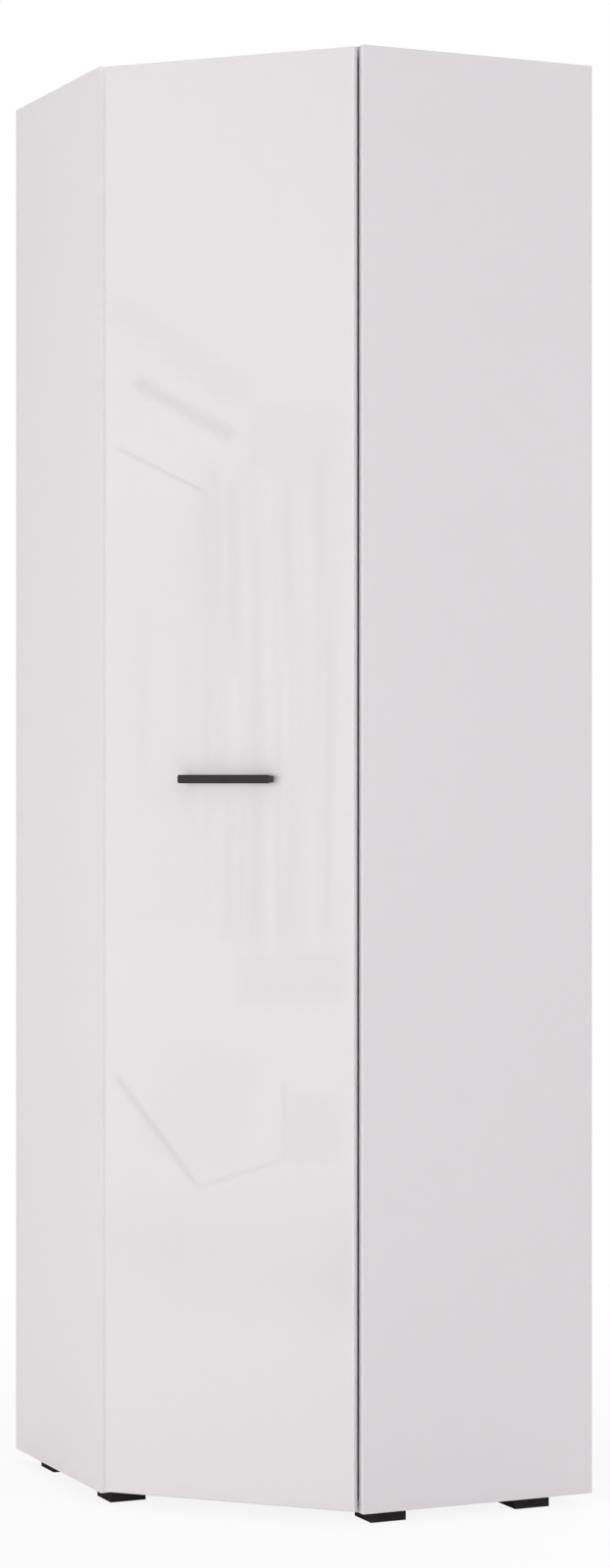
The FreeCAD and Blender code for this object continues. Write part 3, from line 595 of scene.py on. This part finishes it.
def join_pieces(pieces):
    """Several shells as one piece under the first one's name."""
    bpy.ops.object.select_all(action="DESELECT")
    for piece in pieces:
        piece.select_set(True)
    bpy.context.view_layer.objects.active = pieces[0]
    bpy.ops.object.join()
    return pieces[0]


def carry(piece, place):
    """Take a piece from the origin to its frame, its place in its mesh."""
    only(piece)
    piece.matrix_world = place
    bpy.ops.object.transform_apply(location=True, rotation=True, scale=True)
    return piece


def copies_at(model, names, places):
    """A copy of a model at each place, with a mesh of its own; the model itself goes."""
    made = []
    for name, place in zip(names, places):
        only(model)
        bpy.ops.object.duplicate(linked=False)
        twin = bpy.context.object
        twin.name = name
        twin.data.name = name
        made.append(carry(twin, place))
    bpy.data.objects.remove(model)
    return made


def set_of(model, name, places):
    """Copies of a model at all places, joined as one piece."""
    names = ["%s_%d" % (name, index) for index in range(1, len(places) + 1)]
    whole = join_pieces(copies_at(model, names, places))
    whole.name = name + "_set"
    return whole


def dress(piece, body, *replaced, angle=40):
    """Shade a modelled piece, give it its finish, and put it in place of its CAD nodes."""
    only(piece)
    bpy.ops.object.shade_smooth_by_angle(angle=math.radians(angle))
    slot = SLOT_OF[replaced[0]]
    piece.data.materials.clear()
    piece.data.materials.append(SLOT_FINISH[slot])
    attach(piece, body)
    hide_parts(*replaced)


# Handle
HANDLE_BAR = 8 * MM
HANDLE_LEG = 13 * MM
HANDLE_CORNER = 2.5 * MM
HANDLE_ARRIS = 0.7 * MM


def bracket_handle():
    """A flat bar with round corners and soft arrises, on two lower legs that stand flush with its ends."""
    points = points_of("door_handle")
    place = end_frame(points, -DOOR_OUT)
    reach = extent(points, DOOR_OUT)
    half = extent(points, DOOR_ALONG) / 2
    tall = extent(points, UP)
    inside = half - HANDLE_LEG
    leg = (tall - HANDLE_CORNER) / 2
    handle = block("bracket_handle", (2 * half, tall, HANDLE_BAR), (0, 0, HANDLE_BAR / 2 - reach))
    edit(handle)
    pick_edges(handle, lambda middle, way: abs(way.z) > ALIGNED)
    round_off(HANDLE_CORNER, 6)
    for cut in (Vector((-inside, 0, 0)), Vector((inside, 0, 0)), Vector((0, -leg, 0)), Vector((0, leg, 0))):
        bpy.ops.mesh.select_all(action="SELECT")
        bpy.ops.mesh.bisect(plane_co=cut, plane_no=cut.normalized())
    pick_faces(handle, lambda centre, normal:
               normal.z > ALIGNED and abs(centre.x) > inside and abs(centre.y) < leg)
    extrude((0, 0, reach - HANDLE_BAR))
    leave()
    ease(handle, HANDLE_ARRIS, 3)
    dress(carry(handle, place), "door", "door_handle")


# Feet
FOOT_CORNER = 1.2 * MM
FOOT_WALL = 3 * MM
FOOT_DECK = 4 * MM
FOOT_BOSS = 7 * MM
FOOT_BOSS_LIFT = 2 * MM
FOOT_RECESS = 4 * MM
FOOT_ARRIS = 0.5 * MM
FOOT_BOSS_ARRIS = 0.4 * MM
FEET = ("left_front_foot", "left_rear_foot", "right_front_foot", "right_rear_foot", "rear_corner_foot")


def glide_feet():
    """Low square feet, hollow from below, with a boss for a screw in the middle of the deck."""
    low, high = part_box(FEET[0])
    wide, tall = high.x - low.x, high.z - low.z
    shell = block("glide_foot", (wide, wide, tall), (0, 0, tall / 2))
    edit(shell)
    pick_edges(shell, lambda middle, way: abs(way.z) > ALIGNED)
    round_off(FOOT_CORNER, 4)
    pick_bottom(shell)
    inset(FOOT_WALL)
    extrude((0, 0, tall - FOOT_DECK))
    leave()
    ease(shell, FOOT_ARRIS)
    boss = round_bar("screw_boss", FOOT_BOSS, FOOT_BOSS_LIFT, tall - FOOT_DECK / 2)
    edit(boss)
    pick_bottom(boss)
    inset(FOOT_BOSS - FOOT_RECESS)
    extrude((0, 0, tall - FOOT_DECK - FOOT_BOSS_LIFT))
    leave()
    ease(boss, FOOT_BOSS_ARRIS)
    foot = join_pieces([shell, boss])
    places = []
    for node in FEET:
        low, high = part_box(node)
        places.append(Matrix.Translation(((low.x + high.x) / 2, (low.y + high.y) / 2, FLOOR)))
    names = [node.replace("foot", "glide") for node in FEET]
    for piece, node in zip(copies_at(foot, names, places), FEET):
        dress(piece, "carcass", node)


# Screws, cams and nails
# Shares of a head's radius: the width and the reach of its cross
CROSS_WIDTH = 0.22
CROSS_REACH = 0.55
# Shares of a head's height: its dome and its cross; and the share of a shank's width left at its tip
HEAD_DOME = 0.45
HEAD_CROSS = 0.6
SCREW_TIP = 0.7
# Head radius, head height, shank radius
SMALL_SCREW = (3.4 * MM, 1.2 * MM, 1.9 * MM)
HANDLE_SCREW = (4.0 * MM, 2.4 * MM, 2.0 * MM)
POST_SCREW = (4.8 * MM, 2.5 * MM, 3.4 * MM)
SCREWS = {
    # CAD node: name, body, axis, sizes
    "hinge_cup_screws": ("cup_screw", "door", DOOR_OUT, SMALL_SCREW),
    "hinge_plate_screws": ("plate_screw", "carcass", RIGHT_WALL, SMALL_SCREW),
    "hinge_arm_screws": ("arm_screw", "carcass", RIGHT_WALL, SMALL_SCREW),
    "handle_screws": ("handle_screw", "door", DOOR_OUT, HANDLE_SCREW),
    "rail_bracket_screws": ("bracket_screw", "carcass", UP, SMALL_SCREW),
    "foot_screws": ("foot_screw", "carcass", UP, SMALL_SCREW),
    "long_screws": ("post_screw", "carcass", UP, POST_SCREW),
}


def cross_recess(radius, depth):
    """A cutter for the cross in a screw's or a cam's face, which lies at the origin."""
    arm = CROSS_WIDTH * radius
    cutter = block("cross_recess", (arm, arm, 2 * depth))
    edit(cutter)
    for way in (Vector((1, 0, 0)), Vector((-1, 0, 0)), Vector((0, 1, 0)), Vector((0, -1, 0))):
        pick_faces(cutter, lambda centre, normal:
                   normal.dot(way) > ALIGNED and (centre - way * arm / 2).xy.length < SAME_POINT)
        extrude(way * (CROSS_REACH * radius - arm / 2))
    leave()
    return cutter


def cross_screw(name, radius, height, shank, length):
    """A screw with a domed head, its face at the origin, and a plain shank with a blunt tip below."""
    screw = round_bar(name, radius, -height, 0, 24)
    edit(screw)
    pick_top(screw)
    bpy.ops.mesh.region_to_loop()
    round_off(HEAD_DOME * height, 3)
    pick_bottom(screw)
    inset(radius - shank)
    extrude((0, 0, height - length))
    bpy.ops.transform.resize(value=(SCREW_TIP, SCREW_TIP, 1))
    leave()
    cut_out(screw, cross_recess(radius, HEAD_CROSS * height))
    return screw


def fit_screws():
    """Cross-headed screws in place of the plain ones, each kind as one piece."""
    for node, (name, body, axis, sizes) in SCREWS.items():
        solids = solids_of(node)
        model = cross_screw(name + "_model", *sizes, extent(solids[0], axis))
        places = [end_frame(points, head_way(points, axis)) for points in solids]
        dress(set_of(model, name, places), body, node)


CAM_RADIUS = 7.5 * MM
CAM_RIM = 1.1 * MM
CAM_DISH = 0.4 * MM
CAM_CROSS = 3 * MM


def fit_cams():
    """Round cams with a raised rim and a cross slot, flush in the hidden faces of the boards."""
    solids = solids_of("cam_locks")
    cam = round_bar("cam_model", CAM_RADIUS, -extent(solids[0], UP), 0, 32)
    edit(cam)
    pick_top(cam)
    inset(CAM_RIM)
    extrude((0, 0, -CAM_DISH))
    leave()
    cut_out(cam, cross_recess(CAM_RADIUS, CAM_CROSS))
    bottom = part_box("bottom_panel")[1].z
    places = [end_frame(points, -UP if span(points, UP)[0] < bottom else UP) for points in solids]
    dress(set_of(cam, "cam", places), "carcass", "cam_locks")


NAIL_HEAD = 1.9 * MM
NAIL_PROUD = 0.4 * MM
NAIL_SHANK = 0.8 * MM
NAIL_POINT = 0.3


def fit_nails():
    """Flat-headed nails that hold the back boards, their heads a little proud."""
    solids = solids_of("back_nails")
    wall = reach_of("left_back_board", LEFT_WALL)
    ways = [LEFT_WALL if span(points, LEFT_WALL)[1] > wall - SAME_LEVEL else RIGHT_WALL for points in solids]
    nail = round_bar("nail_model", NAIL_HEAD, 0, NAIL_PROUD, 16)
    edit(nail)
    pick_bottom(nail)
    inset(NAIL_HEAD - NAIL_SHANK)
    extrude((0, 0, -extent(solids[0], ways[0])))
    bpy.ops.transform.resize(value=(NAIL_POINT, NAIL_POINT, 1))
    leave()
    places = [end_frame(points, way) for points, way in zip(solids, ways)]
    dress(set_of(nail, "nail", places), "carcass", "back_nails")


# Hanging rail, its brackets and the door's bumpers
RAIL_WALL = 1.2 * MM
RAIL_ARRIS = 0.25 * MM
RING_WALL = 3.5 * MM
BRACKET_WEB = 6 * MM
BRACKET_STEM = 20 * MM
BRACKET_PLATE = 3 * MM
BRACKET_CORNER = 5 * MM
BRACKET_ARRIS = 0.5 * MM
BUMPER_DOME = 0.6


def clothes_rail():
    """A bright round tube with open, softened ends; returns its radius and its level."""
    points = points_of("hanging_rail")
    radius = extent(points, UP) / 2
    tube = round_bar("clothes_rail", radius, -extent(points, DOOR_ALONG), 0, 64, fill="NOTHING")
    wall = tube.modifiers.new("wall", "SOLIDIFY")
    wall.thickness = RAIL_WALL
    wall.offset = -1
    apply_modifiers(tube)
    ease(tube, RAIL_ARRIS, angle=60)
    dress(carry(tube, end_frame(points, DOOR_ALONG)), "carcass", "hanging_rail", angle=50)
    return radius, sum(span(points, UP)) / 2


def rail_hangers(rail_radius, rail_level):
    """Two hangers: a ring round the rail, a flat stem and a plate with round corners under the shelf."""
    for node in ("left_rail_bracket", "right_rail_bracket"):
        points = points_of(node)
        drop = reach_of(node, UP) - rail_level
        plate_long = extent(points, DOOR_ALONG)
        plate_wide = extent(points, DOOR_OUT)
        ring = round_bar(node + "_hanger", rail_radius + RING_WALL, -BRACKET_WEB / 2, BRACKET_WEB / 2, 64)
        edit(ring)
        pick_faces(ring, lambda centre, normal: abs(normal.z) > ALIGNED)
        inset(RING_WALL)
        bpy.ops.mesh.bridge_edge_loops()
        leave()
        stem_foot = rail_radius + RING_WALL / 2
        stem = block("stem", (BRACKET_STEM, drop - stem_foot, BRACKET_WEB), (0, (drop + stem_foot) / 2, 0))
        plate = block("plate", (plate_wide, BRACKET_PLATE, plate_long), (0, drop - BRACKET_PLATE / 2, 0))
        edit(plate)
        pick_edges(plate, lambda middle, way: abs(way.y) > ALIGNED)
        round_off(BRACKET_CORNER, 5)
        leave()
        for shell in (ring, stem, plate):
            ease(shell, BRACKET_ARRIS, 3, 60)
        hanger = join_pieces([ring, stem, plate])
        turn = DOOR_ALONG.to_track_quat("Z", "Y").to_matrix().to_4x4()
        middle = DOOR_ALONG * sum(span(points, DOOR_ALONG)) / 2 + DOOR_OUT * sum(span(points, DOOR_OUT)) / 2
        place = Matrix.Translation(middle + UP * rail_level) @ turn
        dress(carry(hanger, place), "carcass", node, angle=50)


def soft_bumpers():
    """Domed clear pads at the far edge of the door's back."""
    solids = solids_of("door_bumpers")
    pad_tall = extent(solids[0], DOOR_OUT)
    pad = round_bar("bumper_model", extent(solids[0], UP) / 2, -pad_tall, 0, 32)
    edit(pad)
    pick_top(pad)
    bpy.ops.mesh.region_to_loop()
    round_off(BUMPER_DOME * pad_tall, 6)
    leave()
    places = [end_frame(points, -DOOR_OUT) for points in solids]
    dress(set_of(pad, "bumper", places), "door", "door_bumpers")


# Hinges
CUP_RADIUS = 17.5 * MM
CUP_LIP = 19 * MM
CUP_WALL = 1 * MM
FLANGE = 1 * MM
LIP_PROUD = 0.2 * MM
WING_WIDE = 22 * MM
WING_CORNER = 8 * MM
CUP_ARRIS = 0.35 * MM
WING_ARRIS = 0.25 * MM
# Pins in the cup: how far from its middle towards the hinge edge, how far below the flange, the half width of
# their ears, and the two faces of an ear from the hinge's middle plane
CUP_PINS = (
    (12.0 * MM, 3.6 * MM, 2.15 * MM, 5.3 * MM, 6.5 * MM),
    (7.4 * MM, 5.5 * MM, 2.05 * MM, 2.5 * MM, 3.5 * MM),
)
# Share of an ear's half width that rounds its top
EAR_ROUND = 0.98
PRESSED_ARRIS = 0.2 * MM
FLAT_WITHIN = math.radians(1)
HINGES = range(1, 5)
PRESSED = ("arm", "outer_link", "inner_link", "plate")
PRESSED_BODY = {"outer_link": "outer_links", "inner_link": "inner_links"}


def cup_shell(depth):
    """The drilled-in cup with its lip: the flange's face is at the origin and the cup goes down."""
    cup = round_bar("cup_shell", CUP_LIP, -FLANGE, 0, 64)
    edit(cup)
    pick_bottom(cup)
    inset(CUP_LIP - CUP_RADIUS)
    extrude((0, 0, FLANGE - depth))
    pick_top(cup)
    inset(CUP_LIP - CUP_RADIUS + CUP_WALL)
    extrude((0, 0, CUP_WALL - depth))
    leave()
    ease(cup, CUP_ARRIS, 3)
    return cup


def cup_wings(half_long):
    """The two screwed wings of the flange, with round outer corners, cut to the cup's round under its lip."""
    wings = block("wings", (WING_WIDE, 2 * half_long, FLANGE - LIP_PROUD), (0, 0, -(FLANGE + LIP_PROUD) / 2))
    edit(wings)
    pick_edges(wings, lambda middle, way: abs(way.z) > ALIGNED)
    round_off(WING_CORNER, 6)
    leave()
    ease(wings, WING_ARRIS)
    cut_out(wings, round_bar("cup_clearance", CUP_RADIUS, -2 * FLANGE, FLANGE, 64))
    return wings


def cup_ears(depth):
    """Ears that rise from the cup's floor to the link pins, with round tops."""
    ears = []
    for along, below, half, near, far in CUP_PINS:
        top, foot = half - below, CUP_WALL / 2 - depth
        for side in (-1, 1):
            centre = (along, side * (near + far) / 2, (top + foot) / 2)
            ear = block("ear", (2 * half, far - near, top - foot), centre)
            edit(ear)
            pick_edges(ear, lambda middle, way: abs(way.y) > ALIGNED and middle.z > top - SAME_LEVEL)
            round_off(EAR_ROUND * half, 6)
            leave()
            ears.append(ear)
    return ears


def hinge_cups():
    """Four hinge cups, modelled once."""
    cup_nodes = ["hinge_%d_cup" % number for number in HINGES]
    points = points_of(cup_nodes[0])
    depth = extent(points, DOOR_OUT)
    cup = join_pieces([cup_shell(depth), cup_wings(extent(points, UP) / 2)] + cup_ears(depth))
    places = [end_frame(points_of(node), -DOOR_OUT) for node in cup_nodes]
    names = ["hinge_%d_cup_pressing" % number for number in HINGES]
    for piece, node in zip(copies_at(cup, names, places), cup_nodes):
        dress(piece, "door", node)


def pressed_hinge_parts():
    """Arms, links and plates of the hinges with the soft edges of pressed sheet, on merged copies."""
    for number in HINGES:
        for part in PRESSED:
            node = "hinge_%d_%s" % (number, part)
            piece = bpy.data.objects.new(node + "_pressing", nodes[node].data.copy())
            bpy.context.scene.collection.objects.link(piece)
            edit(piece)
            bpy.ops.mesh.select_all(action="SELECT")
            bpy.ops.mesh.remove_doubles(threshold=SAME_POINT)
            bpy.ops.mesh.dissolve_limited(angle_limit=FLAT_WITHIN)
            leave()
            ease(piece, PRESSED_ARRIS, 2, 55)
            dress(piece, PRESSED_BODY.get(part, "carcass"), node, angle=50)


bracket_handle()
glide_feet()
fit_screws()
fit_cams()
fit_nails()
rail_hangers(*clothes_rail())
soft_bumpers()
hinge_cups()
pressed_hinge_parts()


# Studio: a pale floor, a white surround, soft lamps and a card for the door to reflect
FLOOR_WIDE = 60
# Where the floor's shadow starts to fade and where it is gone, and the share of white before that
SHADOW_NEAR = 0.6
SHADOW_FAR = 2.2
FLOOR_WHITE = 0.88
FLOOR_COLOUR = (0.93, 0.92, 0.93, 1)
SURROUND_LIGHT = 0.40
SURROUND_COLOUR = (1.0, 0.985, 1.0, 1)
WHITE = (1, 1, 1, 1)
LAMPS = (
    # name, place, aim, wide and tall, watts
    ("front_softbox", (2.5, -4.9, 1.2), (0.1, -0.1, 1.06), 3.0, 2.3, 133),
    ("side_softbox", (4.6, 2.3, 2.9), (0.2, 0.1, 1.06), 3.0, 3.0, 63),
    ("wall_side_softbox", (-3.6, 3.6, 2.6), (-0.1, 0.1, 1.06), 3.0, 3.6, 120),
    ("overhead_softbox", (0, 0, 5.2), (0, 0, 0), 3.0, 3.0, 51),
)


def seen_rays(tree):
    """One for camera, glossy and transmission rays, nothing for the rest."""
    rays = add(tree, "ShaderNodeLightPath")
    seen = add(tree, "ShaderNodeMath", operation="MAXIMUM")
    clear = add(tree, "ShaderNodeMath", operation="MAXIMUM")
    join_sockets(tree, (rays.outputs["Is Camera Ray"], seen.inputs[0]),
                 (rays.outputs["Is Glossy Ray"], seen.inputs[1]),
                 (seen.outputs["Value"], clear.inputs[0]),
                 (rays.outputs["Is Transmission Ray"], clear.inputs[1]))
    return clear.outputs["Value"]


def bare_tree(name):
    """A new material with nothing in it, and its tree."""
    material = bpy.data.materials.new(name)
    material.use_nodes = True
    material.node_tree.nodes.clear()
    return material, material.node_tree


def stage_floor():
    """A wide pale floor, white to the camera and to reflections, with a faint shadow near the object."""
    bpy.ops.object.select_all(action="DESELECT")
    bpy.ops.mesh.primitive_plane_add(size=FLOOR_WIDE, location=(0, 0, FLOOR))
    floor = bpy.context.object
    floor.name = "studio_floor"
    material, tree = bare_tree("pale_floor")
    place = add(tree, "ShaderNodeTexCoord")
    far = add(tree, "ShaderNodeVectorMath", operation="LENGTH")
    fade = add(tree, "ShaderNodeMapRange", {"From Min": SHADOW_NEAR, "From Max": SHADOW_FAR,
                                            "To Min": FLOOR_WHITE, "To Max": 1.0})
    share = add(tree, "ShaderNodeMath", operation="MULTIPLY")
    pale = add(tree, "ShaderNodeBsdfDiffuse", {"Color": FLOOR_COLOUR})
    white = add(tree, "ShaderNodeEmission", {"Color": WHITE, "Strength": 1.0})
    mix = add(tree, "ShaderNodeMixShader")
    out = add(tree, "ShaderNodeOutputMaterial")
    join_sockets(tree, (place.outputs["Object"], far.inputs[0]), (far.outputs["Value"], fade.inputs["Value"]),
                 (seen_rays(tree), share.inputs[0]), (fade.outputs["Result"], share.inputs[1]),
                 (share.outputs["Value"], mix.inputs["Fac"]), (pale.outputs["BSDF"], mix.inputs[1]),
                 (white.outputs["Emission"], mix.inputs[2]), (mix.outputs["Shader"], out.inputs["Surface"]))
    floor.data.materials.append(material)


def white_surround():
    """White to the camera and to reflections, and an even soft light for everything else."""
    world = bpy.data.worlds.new("white_surround")
    bpy.context.scene.world = world
    world.use_nodes = True
    tree = world.node_tree
    tree.nodes.clear()
    ambient = add(tree, "ShaderNodeBackground", {"Color": SURROUND_COLOUR, "Strength": SURROUND_LIGHT})
    white = add(tree, "ShaderNodeBackground", {"Color": WHITE, "Strength": 1.0})
    mix = add(tree, "ShaderNodeMixShader")
    out = add(tree, "ShaderNodeOutputWorld")
    join_sockets(tree, (seen_rays(tree), mix.inputs["Fac"]), (ambient.outputs["Background"], mix.inputs[1]),
                 (white.outputs["Background"], mix.inputs[2]), (mix.outputs["Shader"], out.inputs["Surface"]))


def soft_lamp(name, location, target, wide, tall, watts):
    """One large soft lamp aimed at a point."""
    lamp = bpy.data.lights.new(name, "AREA")
    lamp.shape = "RECTANGLE"
    lamp.size = wide
    lamp.size_y = tall
    lamp.energy = watts
    holder = bpy.data.objects.new(name, lamp)
    bpy.context.scene.collection.objects.link(holder)
    aim = Vector(target) - Vector(location)
    holder.matrix_world = Matrix.Translation(location) @ aim.to_track_quat("-Z", "Y").to_matrix().to_4x4()
    holder.visible_camera = False
    holder.visible_glossy = False


# The photograph's camera is level, at this height, and the card stands where the door mirrors its sight line
EYE_LEVEL = 1.066
CARD_DISTANCE = 1.5
CARD_WIDE = 2.4
CARD_TALL = 4.0
MIRROR_WAY = Vector((0.391, -0.920, 0))
CARD_GREYS = (
    # depth of grey, place across and up the card, wide and tall, turn in degrees, softness, pattern over it
    (0.42, -0.093, 0.805, 0.30, 0.050, -33.7, 0.030, None),
    (0.75, -0.083, 0.695, 0.21, 0.026, -29.3, 0.010, None),
    (0.80, -0.130, 0.583, 0.18, 0.007, -26.9, 0.004, None),
    (0.30, 0.120, 0.735, 0.19, 0.006, 0.0, 0.004, None),
    (0.34, 0.120, 0.640, 0.18, 0.120, 0.0, 0.030, None),
    (0.55, 0.080, 0.140, 0.29, 0.900, 0.0, 0.040, "streaks"),
    (0.30, -0.045, 0.420, 0.012, 0.250, 0.0, 0.006, None),
    (0.34, 0.009, 0.380, 0.030, 0.360, 0.0, 0.010, None),
    (0.20, -0.140, 0.100, 0.16, 0.800, 0.0, 0.050, None),
    (0.20, -0.160, 0.160, 0.020, 0.320, 0.0, 0.008, None),
    (0.36, 0.120, -0.375, 0.20, 0.100, 0.0, 0.015, None),
    (0.20, -0.053, -0.602, 0.20, 0.220, -15.0, 0.030, None),
    (0.60, 0.022, -0.740, 0.158, 0.008, 16.9, 0.005, None),
    (0.80, -0.136, -0.657, 0.25, 0.012, -53.7, 0.006, None),
    (0.50, 0.105, -0.640, 0.008, 0.150, 0.0, 0.005, None),
    (0.32, 0.160, -0.655, 0.10, 0.130, 0.0, 0.010, None),
    (0.55, 0.000, -0.890, 0.60, 0.180, 0.0, 0.090, "drifts"),
    (0.26, 0.215, -0.960, 0.10, 0.160, -20.0, 0.070, None),
)


def patch_group():
    """A soft-edged rectangle round the vector's origin."""
    tree, given, result = effect_group("soft_patch", {"Wide": 1.0, "Tall": 1.0, "Soft": 0.1}, ("Mask",))
    split = add(tree, "ShaderNodeSeparateXYZ")
    both = add(tree, "ShaderNodeMath", operation="MULTIPLY")
    join_sockets(tree, (given.outputs["Vector"], split.inputs["Vector"]),
                 (both.outputs["Value"], result.inputs["Mask"]))
    for index, (axis, size) in enumerate((("X", "Wide"), ("Y", "Tall"))):
        away = add(tree, "ShaderNodeMath", operation="ABSOLUTE")
        half = add(tree, "ShaderNodeMath", {1: 0.5}, operation="MULTIPLY")
        near = add(tree, "ShaderNodeMath", operation="SUBTRACT")
        far = add(tree, "ShaderNodeMath", operation="ADD")
        fall = add(tree, "ShaderNodeMapRange", {"To Min": 1.0, "To Max": 0.0},
                   interpolation_type="SMOOTHSTEP")
        join_sockets(tree, (split.outputs[axis], away.inputs[0]), (given.outputs[size], half.inputs[0]),
                     (half.outputs["Value"], near.inputs[0]), (given.outputs["Soft"], near.inputs[1]),
                     (half.outputs["Value"], far.inputs[0]), (given.outputs["Soft"], far.inputs[1]),
                     (away.outputs["Value"], fall.inputs["Value"]),
                     (near.outputs["Value"], fall.inputs["From Min"]),
                     (far.outputs["Value"], fall.inputs["From Max"]),
                     (fall.outputs["Result"], both.inputs[index]))
    return tree


def card_light():
    """The card's light: white less its soft greys, one of them in upright streaks and one in drifts."""
    material, tree = bare_tree("grey_shapes_card")
    place = add(tree, "ShaderNodeTexCoord").outputs["Object"]
    upright = add(tree, "ShaderNodeMapping", {"Scale": (1, 0.03, 1)})
    lines = add(tree, "ShaderNodeTexNoise", {"Scale": 30.0, "Detail": 3.0, "Roughness": 0.6})
    streaks = add(tree, "ShaderNodeMapRange", {"From Min": 0.38, "From Max": 0.64})
    flat = add(tree, "ShaderNodeMapping", {"Scale": (1, 3, 1)})
    drifts = add(tree, "ShaderNodeTexNoise", {"Scale": 4.5, "Detail": 2.0, "Distortion": 0.5})
    join_sockets(tree, (place, upright.inputs["Vector"]),
                 (upright.outputs["Vector"], lines.inputs["Vector"]),
                 (lines.outputs["Fac"], streaks.inputs["Value"]),
                 (place, flat.inputs["Vector"]), (flat.outputs["Vector"], drifts.inputs["Vector"]))
    patterns = {"streaks": streaks.outputs["Result"], "drifts": drifts.outputs["Fac"]}
    patch = patch_group()
    level = None
    for depth, across, up, wide, tall, turn, soft, pattern in CARD_GREYS:
        moved = add(tree, "ShaderNodeMapping", vector_type="TEXTURE")
        moved.inputs["Location"].default_value = (across, up, 0)
        moved.inputs["Rotation"].default_value = (0, 0, math.radians(turn))
        shape = add(tree, "ShaderNodeGroup", node_tree=patch)
        for label, number in (("Wide", wide), ("Tall", tall), ("Soft", soft)):
            shape.inputs[label].default_value = number
        grey = add(tree, "ShaderNodeMath", {1: depth}, operation="MULTIPLY")
        join_sockets(tree, (place, moved.inputs["Vector"]), (moved.outputs["Vector"], shape.inputs["Vector"]),
                     (shape.outputs["Mask"], grey.inputs[0]))
        if pattern:
            times = add(tree, "ShaderNodeMath", operation="MULTIPLY")
            join_sockets(tree, (grey.outputs["Value"], times.inputs[0]), (patterns[pattern], times.inputs[1]))
            grey = times
        less = add(tree, "ShaderNodeMath", {0: 1.0}, operation="SUBTRACT", use_clamp=True)
        if level is not None:
            join_sockets(tree, (level, less.inputs[0]))
        join_sockets(tree, (grey.outputs["Value"], less.inputs[1]))
        level = less.outputs["Value"]
    light = add(tree, "ShaderNodeEmission")
    out = add(tree, "ShaderNodeOutputMaterial")
    join_sockets(tree, (level, light.inputs["Strength"]), (light.outputs["Emission"], out.inputs["Surface"]))
    return material


def reflection_card():
    """A tall card before the door that only gloss can see."""
    bpy.ops.object.select_all(action="DESELECT")
    bpy.ops.mesh.primitive_plane_add(size=1)
    card = bpy.context.object
    card.scale = (CARD_WIDE, CARD_TALL, 1)
    card.name = "reflection_card"
    bpy.ops.object.transform_apply(scale=True)
    across = UP.cross(MIRROR_WAY)
    turn = Matrix((across, UP, across.cross(UP))).transposed().to_4x4()
    middle = DOOR_OUT * reach_of("door_panel", DOOR_OUT) + MIRROR_WAY * CARD_DISTANCE
    card.matrix_world = Matrix.Translation(middle + UP * EYE_LEVEL) @ turn
    card.data.materials.append(card_light())
    for ray in ("camera", "diffuse", "transmission", "shadow", "volume_scatter"):
        setattr(card, "visible_" + ray, False)


# The camera's place, its turn about the upright in degrees, its lens in millimetres and the picture's shift
CAMERA_PLACE = (4.804, -2.151, EYE_LEVEL)
CAMERA_TURN = 66.31
CAMERA_LENS = 79.63
CAMERA_SENSOR = 36.0
CAMERA_SHIFT = (0.0232, -0.0029)


def photo_camera():
    """The photograph's view: level, from the right of the door's own axis."""
    lens = bpy.data.cameras.new("photo_camera")
    lens.lens = CAMERA_LENS
    lens.sensor_width = CAMERA_SENSOR
    lens.shift_x, lens.shift_y = CAMERA_SHIFT
    holder = bpy.data.objects.new("photo_camera", lens)
    holder.location = CAMERA_PLACE
    holder.rotation_euler = (math.radians(90), 0, math.radians(CAMERA_TURN))
    bpy.context.scene.collection.objects.link(holder)
    bpy.context.scene.camera = holder


stage_floor()
white_surround()
for lamp_row in LAMPS:
    soft_lamp(*lamp_row)
reflection_card()
photo_camera()

bpy.context.scene.view_settings.view_transform = "Standard"
